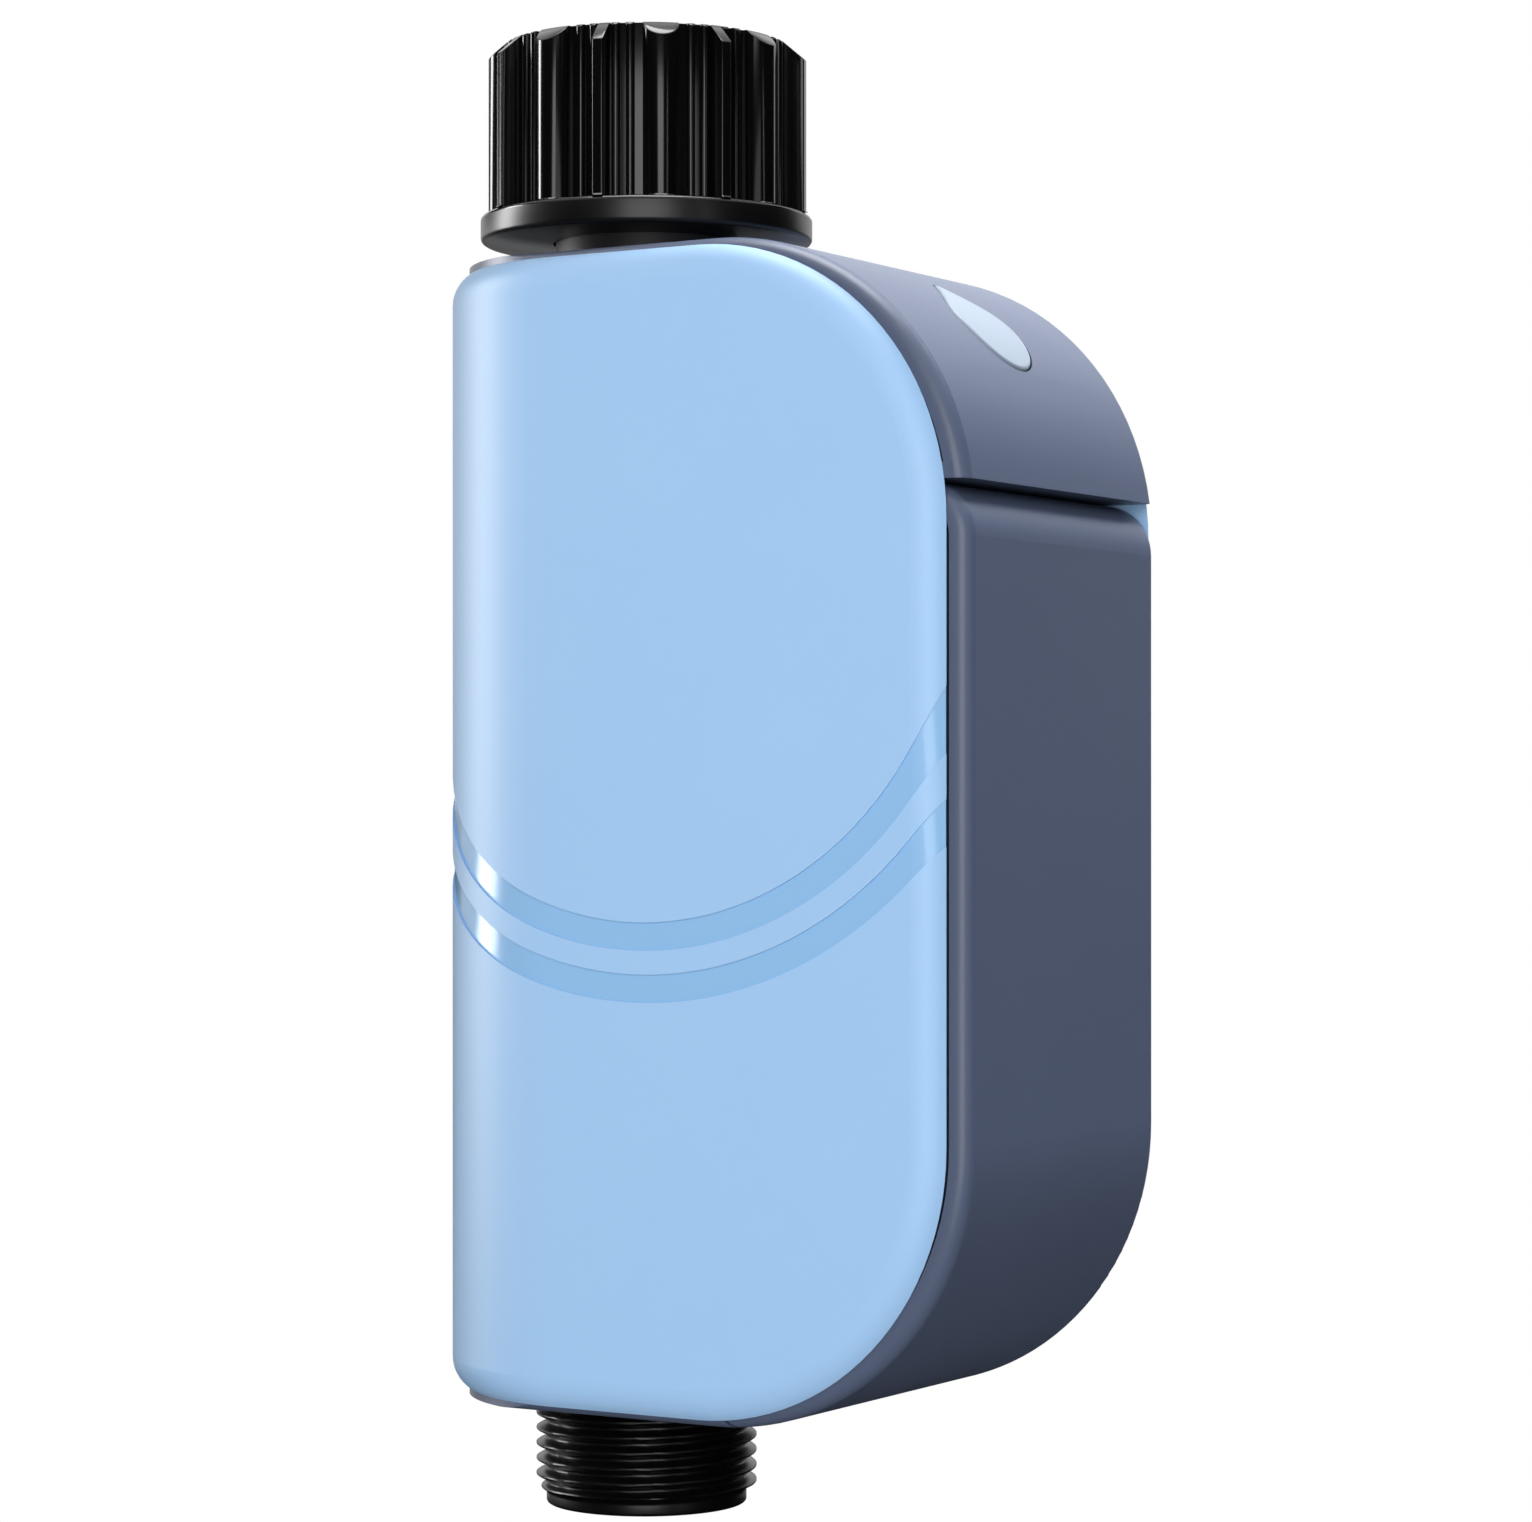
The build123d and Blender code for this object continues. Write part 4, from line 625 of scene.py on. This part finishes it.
def grip_radius(angle, height):
    """The grip's radius: the highest lobe, rib or ridge at this angle."""
    repeat = 2 * math.pi / GRIP_REPEATS
    around = (angle - GRIP_START + repeat / 2) % repeat - repeat / 2
    radius = GRIP_BASE
    for place, centre, bump in BUMPS:
        radius = max(radius, round_bump(around - math.radians(place), centre, bump))
    gap = repeat / 2 - abs(around)
    if gap < RIDGE_CORNER:
        radius = RIDGE_TOP
    elif gap < RIDGE_REACH:
        side_wall = RIDGE_HALF / math.sin(gap)
        corner = math.hypot(RIDGE_TOP - RIDGE_ROUND, RIDGE_HALF - RIDGE_ROUND)
        rounded = round_bump(gap - RIDGE_CORNER, corner, RIDGE_ROUND)
        radius = max(radius, rounded, min(side_wall, RIDGE_TOP - RIDGE_ROUND))
    return radius


def cone_height(radius):
    """Height of the cone at a radius."""
    return NUT_TOP - NUT_CONE_SLOPE * (radius - NUT_RIM) if radius > NUT_RIM else NUT_TOP


# The rings need close steps at the ridges' steep sides and at the small ribs
HALF_REPEAT_DEGREES = 22.5
HALF_REPEAT_STEPS = 150
RIDGE_SIDE_DEGREES = 1.2
RIDGE_SIDE_STEPS = 24
grip_angles = []
for group in range(GRIP_REPEATS):
    middle = GRIP_START + 2 * math.pi * group / GRIP_REPEATS
    for step in range(-HALF_REPEAT_STEPS, HALF_REPEAT_STEPS):
        grip_angles.append(
            middle + math.radians(HALF_REPEAT_DEGREES * step / HALF_REPEAT_STEPS)
        )
    ridge_middle = middle + math.pi / GRIP_REPEATS
    for side in (-1, 1):
        for step in range(1, RIDGE_SIDE_STEPS):
            away = RIDGE_SIDE_DEGREES + RIDGE_SIDE_DEGREES * step / RIDGE_SIDE_STEPS
            grip_angles.append(ridge_middle + side * math.radians(away))
grip_angles = sorted(set(round(a % (2 * math.pi), 7) for a in grip_angles))
print("angles round the grip:", len(grip_angles))

# %% [markdown]
# ## The nut's thread and mesh
# A pipe thread climbs one pitch in each turn. Height and angle together say where on the
# thread a point lies, so one wave function serves the nut inside and the spout outside.
# The rows then run up the outside, over the cone and down the threaded hole.

# %% Nut: pipe thread and mesh
THREAD_PITCH = 1.814
THREAD_CREST = 13.22
THREAD_ROOT = 12.06
# Shares of the wave that stay flat, at the root and over the flank
THREAD_ROOT_FLAT = 0.12
THREAD_FLANK = 0.76
NUT_MOUTH = 1.1
# The washer's seat and the foot's hole, in the lower half of the nut
SEAT_TOP = -1.2
SEAT_FOOT = -6.6
SEAT_RADIUS = 13.0
FOOT_HOLE_RADIUS = 11.2


def thread_wave(angle, height, phase_mm=0.0):
    """From 0 at the root to 1 at the crest of a right-hand thread with rounded tops."""
    turns = (height - phase_mm) / THREAD_PITCH - angle / (2 * math.pi)
    wave = abs((turns % 1) * 2 - 1)
    flank = min(max((wave - THREAD_ROOT_FLAT) / THREAD_FLANK, 0), 1)
    return flank * flank * (3 - 2 * flank) * 0.5 + flank * 0.5


def nut_thread(angle, height):
    """Inside radius of the thread, which the mouth's cone cuts off at the top."""
    radius = THREAD_CREST - (THREAD_CREST - THREAD_ROOT) * thread_wave(angle, height)
    mouth = THREAD_ROOT + height - (NUT_TOP - NUT_MOUTH)
    return max(radius, mouth)


nut_rows = []
flange_round = 0.6
for r, z in rounded_corner(
    (NUT_FLANGE_RADIUS - flange_round, NUT_BOTTOM + flange_round), -90, flange_round, 1
):
    nut_rows.append((z, plain(r)))
flange_top = NUT_BOTTOM + NUT_FLANGE_HEIGHT
for r, z in rounded_corner(
    (NUT_FLANGE_RADIUS - flange_round, flange_top - flange_round), 0, flange_round, 1
):
    nut_rows.append((z, plain(r)))
foot_fillet = 0.2
nut_rows.append((flange_top + 0.001, lambda a, h: grip_radius(a, h) + foot_fillet))
nut_rows.append((flange_top + foot_fillet, grip_radius))
# The mould leaves a small round where the walls meet the cone
edge_round = 0.12
nut_rows.append((lambda a: cone_height(grip_radius(a, 0)) - edge_round, grip_radius))
nut_rows.append((
    lambda a: cone_height(grip_radius(a, 0)) - 0.25 * edge_round,
    lambda a, h: grip_radius(a, h) - 0.25 * edge_round,
))
nut_rows.append((
    lambda a: cone_height(grip_radius(a, 0) - edge_round) - 0.01,
    lambda a, h: grip_radius(a, h) - edge_round,
))
rim_round = 0.1
nut_rows.append((NUT_TOP - 0.02, lambda a, h: min(grip_radius(a, h) - rim_round, NUT_RIM)))
nut_rows.append((NUT_TOP, lambda a, h: min(grip_radius(a, h) - 0.3, NUT_RIM - 0.15)))
mouth_edge = THREAD_ROOT + NUT_MOUTH
nut_rows.append((NUT_TOP, plain(mouth_edge + 0.2)))
thread_rows = 92
thread_foot = -1.1
for step in range(thread_rows + 1):
    nut_rows.append((NUT_TOP - (NUT_TOP - thread_foot) * step / thread_rows, nut_thread))
nut_rows.append((SEAT_TOP, plain(SEAT_RADIUS)))
nut_rows.append((SEAT_FOOT, plain(SEAT_RADIUS)))
nut_rows.append((SEAT_FOOT, plain(FOOT_HOLE_RADIUS)))
nut_rows.append((NUT_BOTTOM, plain(FOOT_HOLE_RADIUS)))
nut = ring_mesh("inlet_nut_lobed", nut_rows, grip_angles, black_nylon, "nut")
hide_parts("inlet_nut")

# %% [markdown]
# ## Outlet spout
# The hose screws onto this male thread. The real one has softly rounded crests, a plain
# nose below them, and a collar inside the case that stands on the floor of the case.

# %% Spout
SPOUT_END = -161.7
NOSE_LENGTH = 1.3
NOSE_RADIUS = 12.0
BODY_BOTTOM = -148.3
SPOUT_PLAIN = 13.0
THREAD_TOP = BODY_BOTTOM - 0.6
SPOUT_THREAD_PHASE = 0.35
# The plug in the ball chamber, and the collar on the floor of the case
PLUG_TOP = -138.4
PLUG_RADIUS = 11.1
COLLAR_TOP = -143.3
COLLAR_FOOT = -145.9
COLLAR_RADIUS = 14.5
BORE_RADIUS = 7.5
NOSE_ROUND = 0.4


def spout_outside(angle, height):
    """Outside radius of the threaded length, where the thread fades out at the nose."""
    wave = thread_wave(angle, height, SPOUT_THREAD_PHASE)
    crest = THREAD_ROOT + (THREAD_CREST - THREAD_ROOT) * wave
    above_nose = height - (SPOUT_END + NOSE_LENGTH)
    fade = min(max(above_nose / 0.9 - 0.1, 0), 1)
    return NOSE_RADIUS + (crest - NOSE_RADIUS) * fade


spout_rows = [
    (PLUG_TOP, plain(PLUG_RADIUS)), (COLLAR_TOP, plain(PLUG_RADIUS)),
    (COLLAR_TOP, plain(COLLAR_RADIUS)), (COLLAR_FOOT, plain(COLLAR_RADIUS)),
    (COLLAR_FOOT, plain(SPOUT_PLAIN)), (THREAD_TOP, plain(SPOUT_PLAIN)),
]
spout_steps = 110
thread_low = SPOUT_END + NOSE_LENGTH - 0.1
for step in range(spout_steps + 1):
    height = THREAD_TOP - 0.2 - (THREAD_TOP - 0.2 - thread_low) * step / spout_steps
    spout_rows.append((height, spout_outside))
nose_edge = (NOSE_RADIUS - NOSE_ROUND, SPOUT_END + NOSE_ROUND)
for r, z in rounded_corner(nose_edge, 0, NOSE_ROUND, -1):
    spout_rows.append((z, plain(r)))
bore_edge = (BORE_RADIUS + NOSE_ROUND, SPOUT_END + NOSE_ROUND)
for r, z in rounded_corner(bore_edge, -90, NOSE_ROUND, -1):
    spout_rows.append((z, plain(r)))
spout_rows.append((PLUG_TOP, plain(BORE_RADIUS)))
spout = ring_mesh("outlet_spout_threaded", spout_rows, 360, black_nylon, "housing")
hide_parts("outlet_spout")
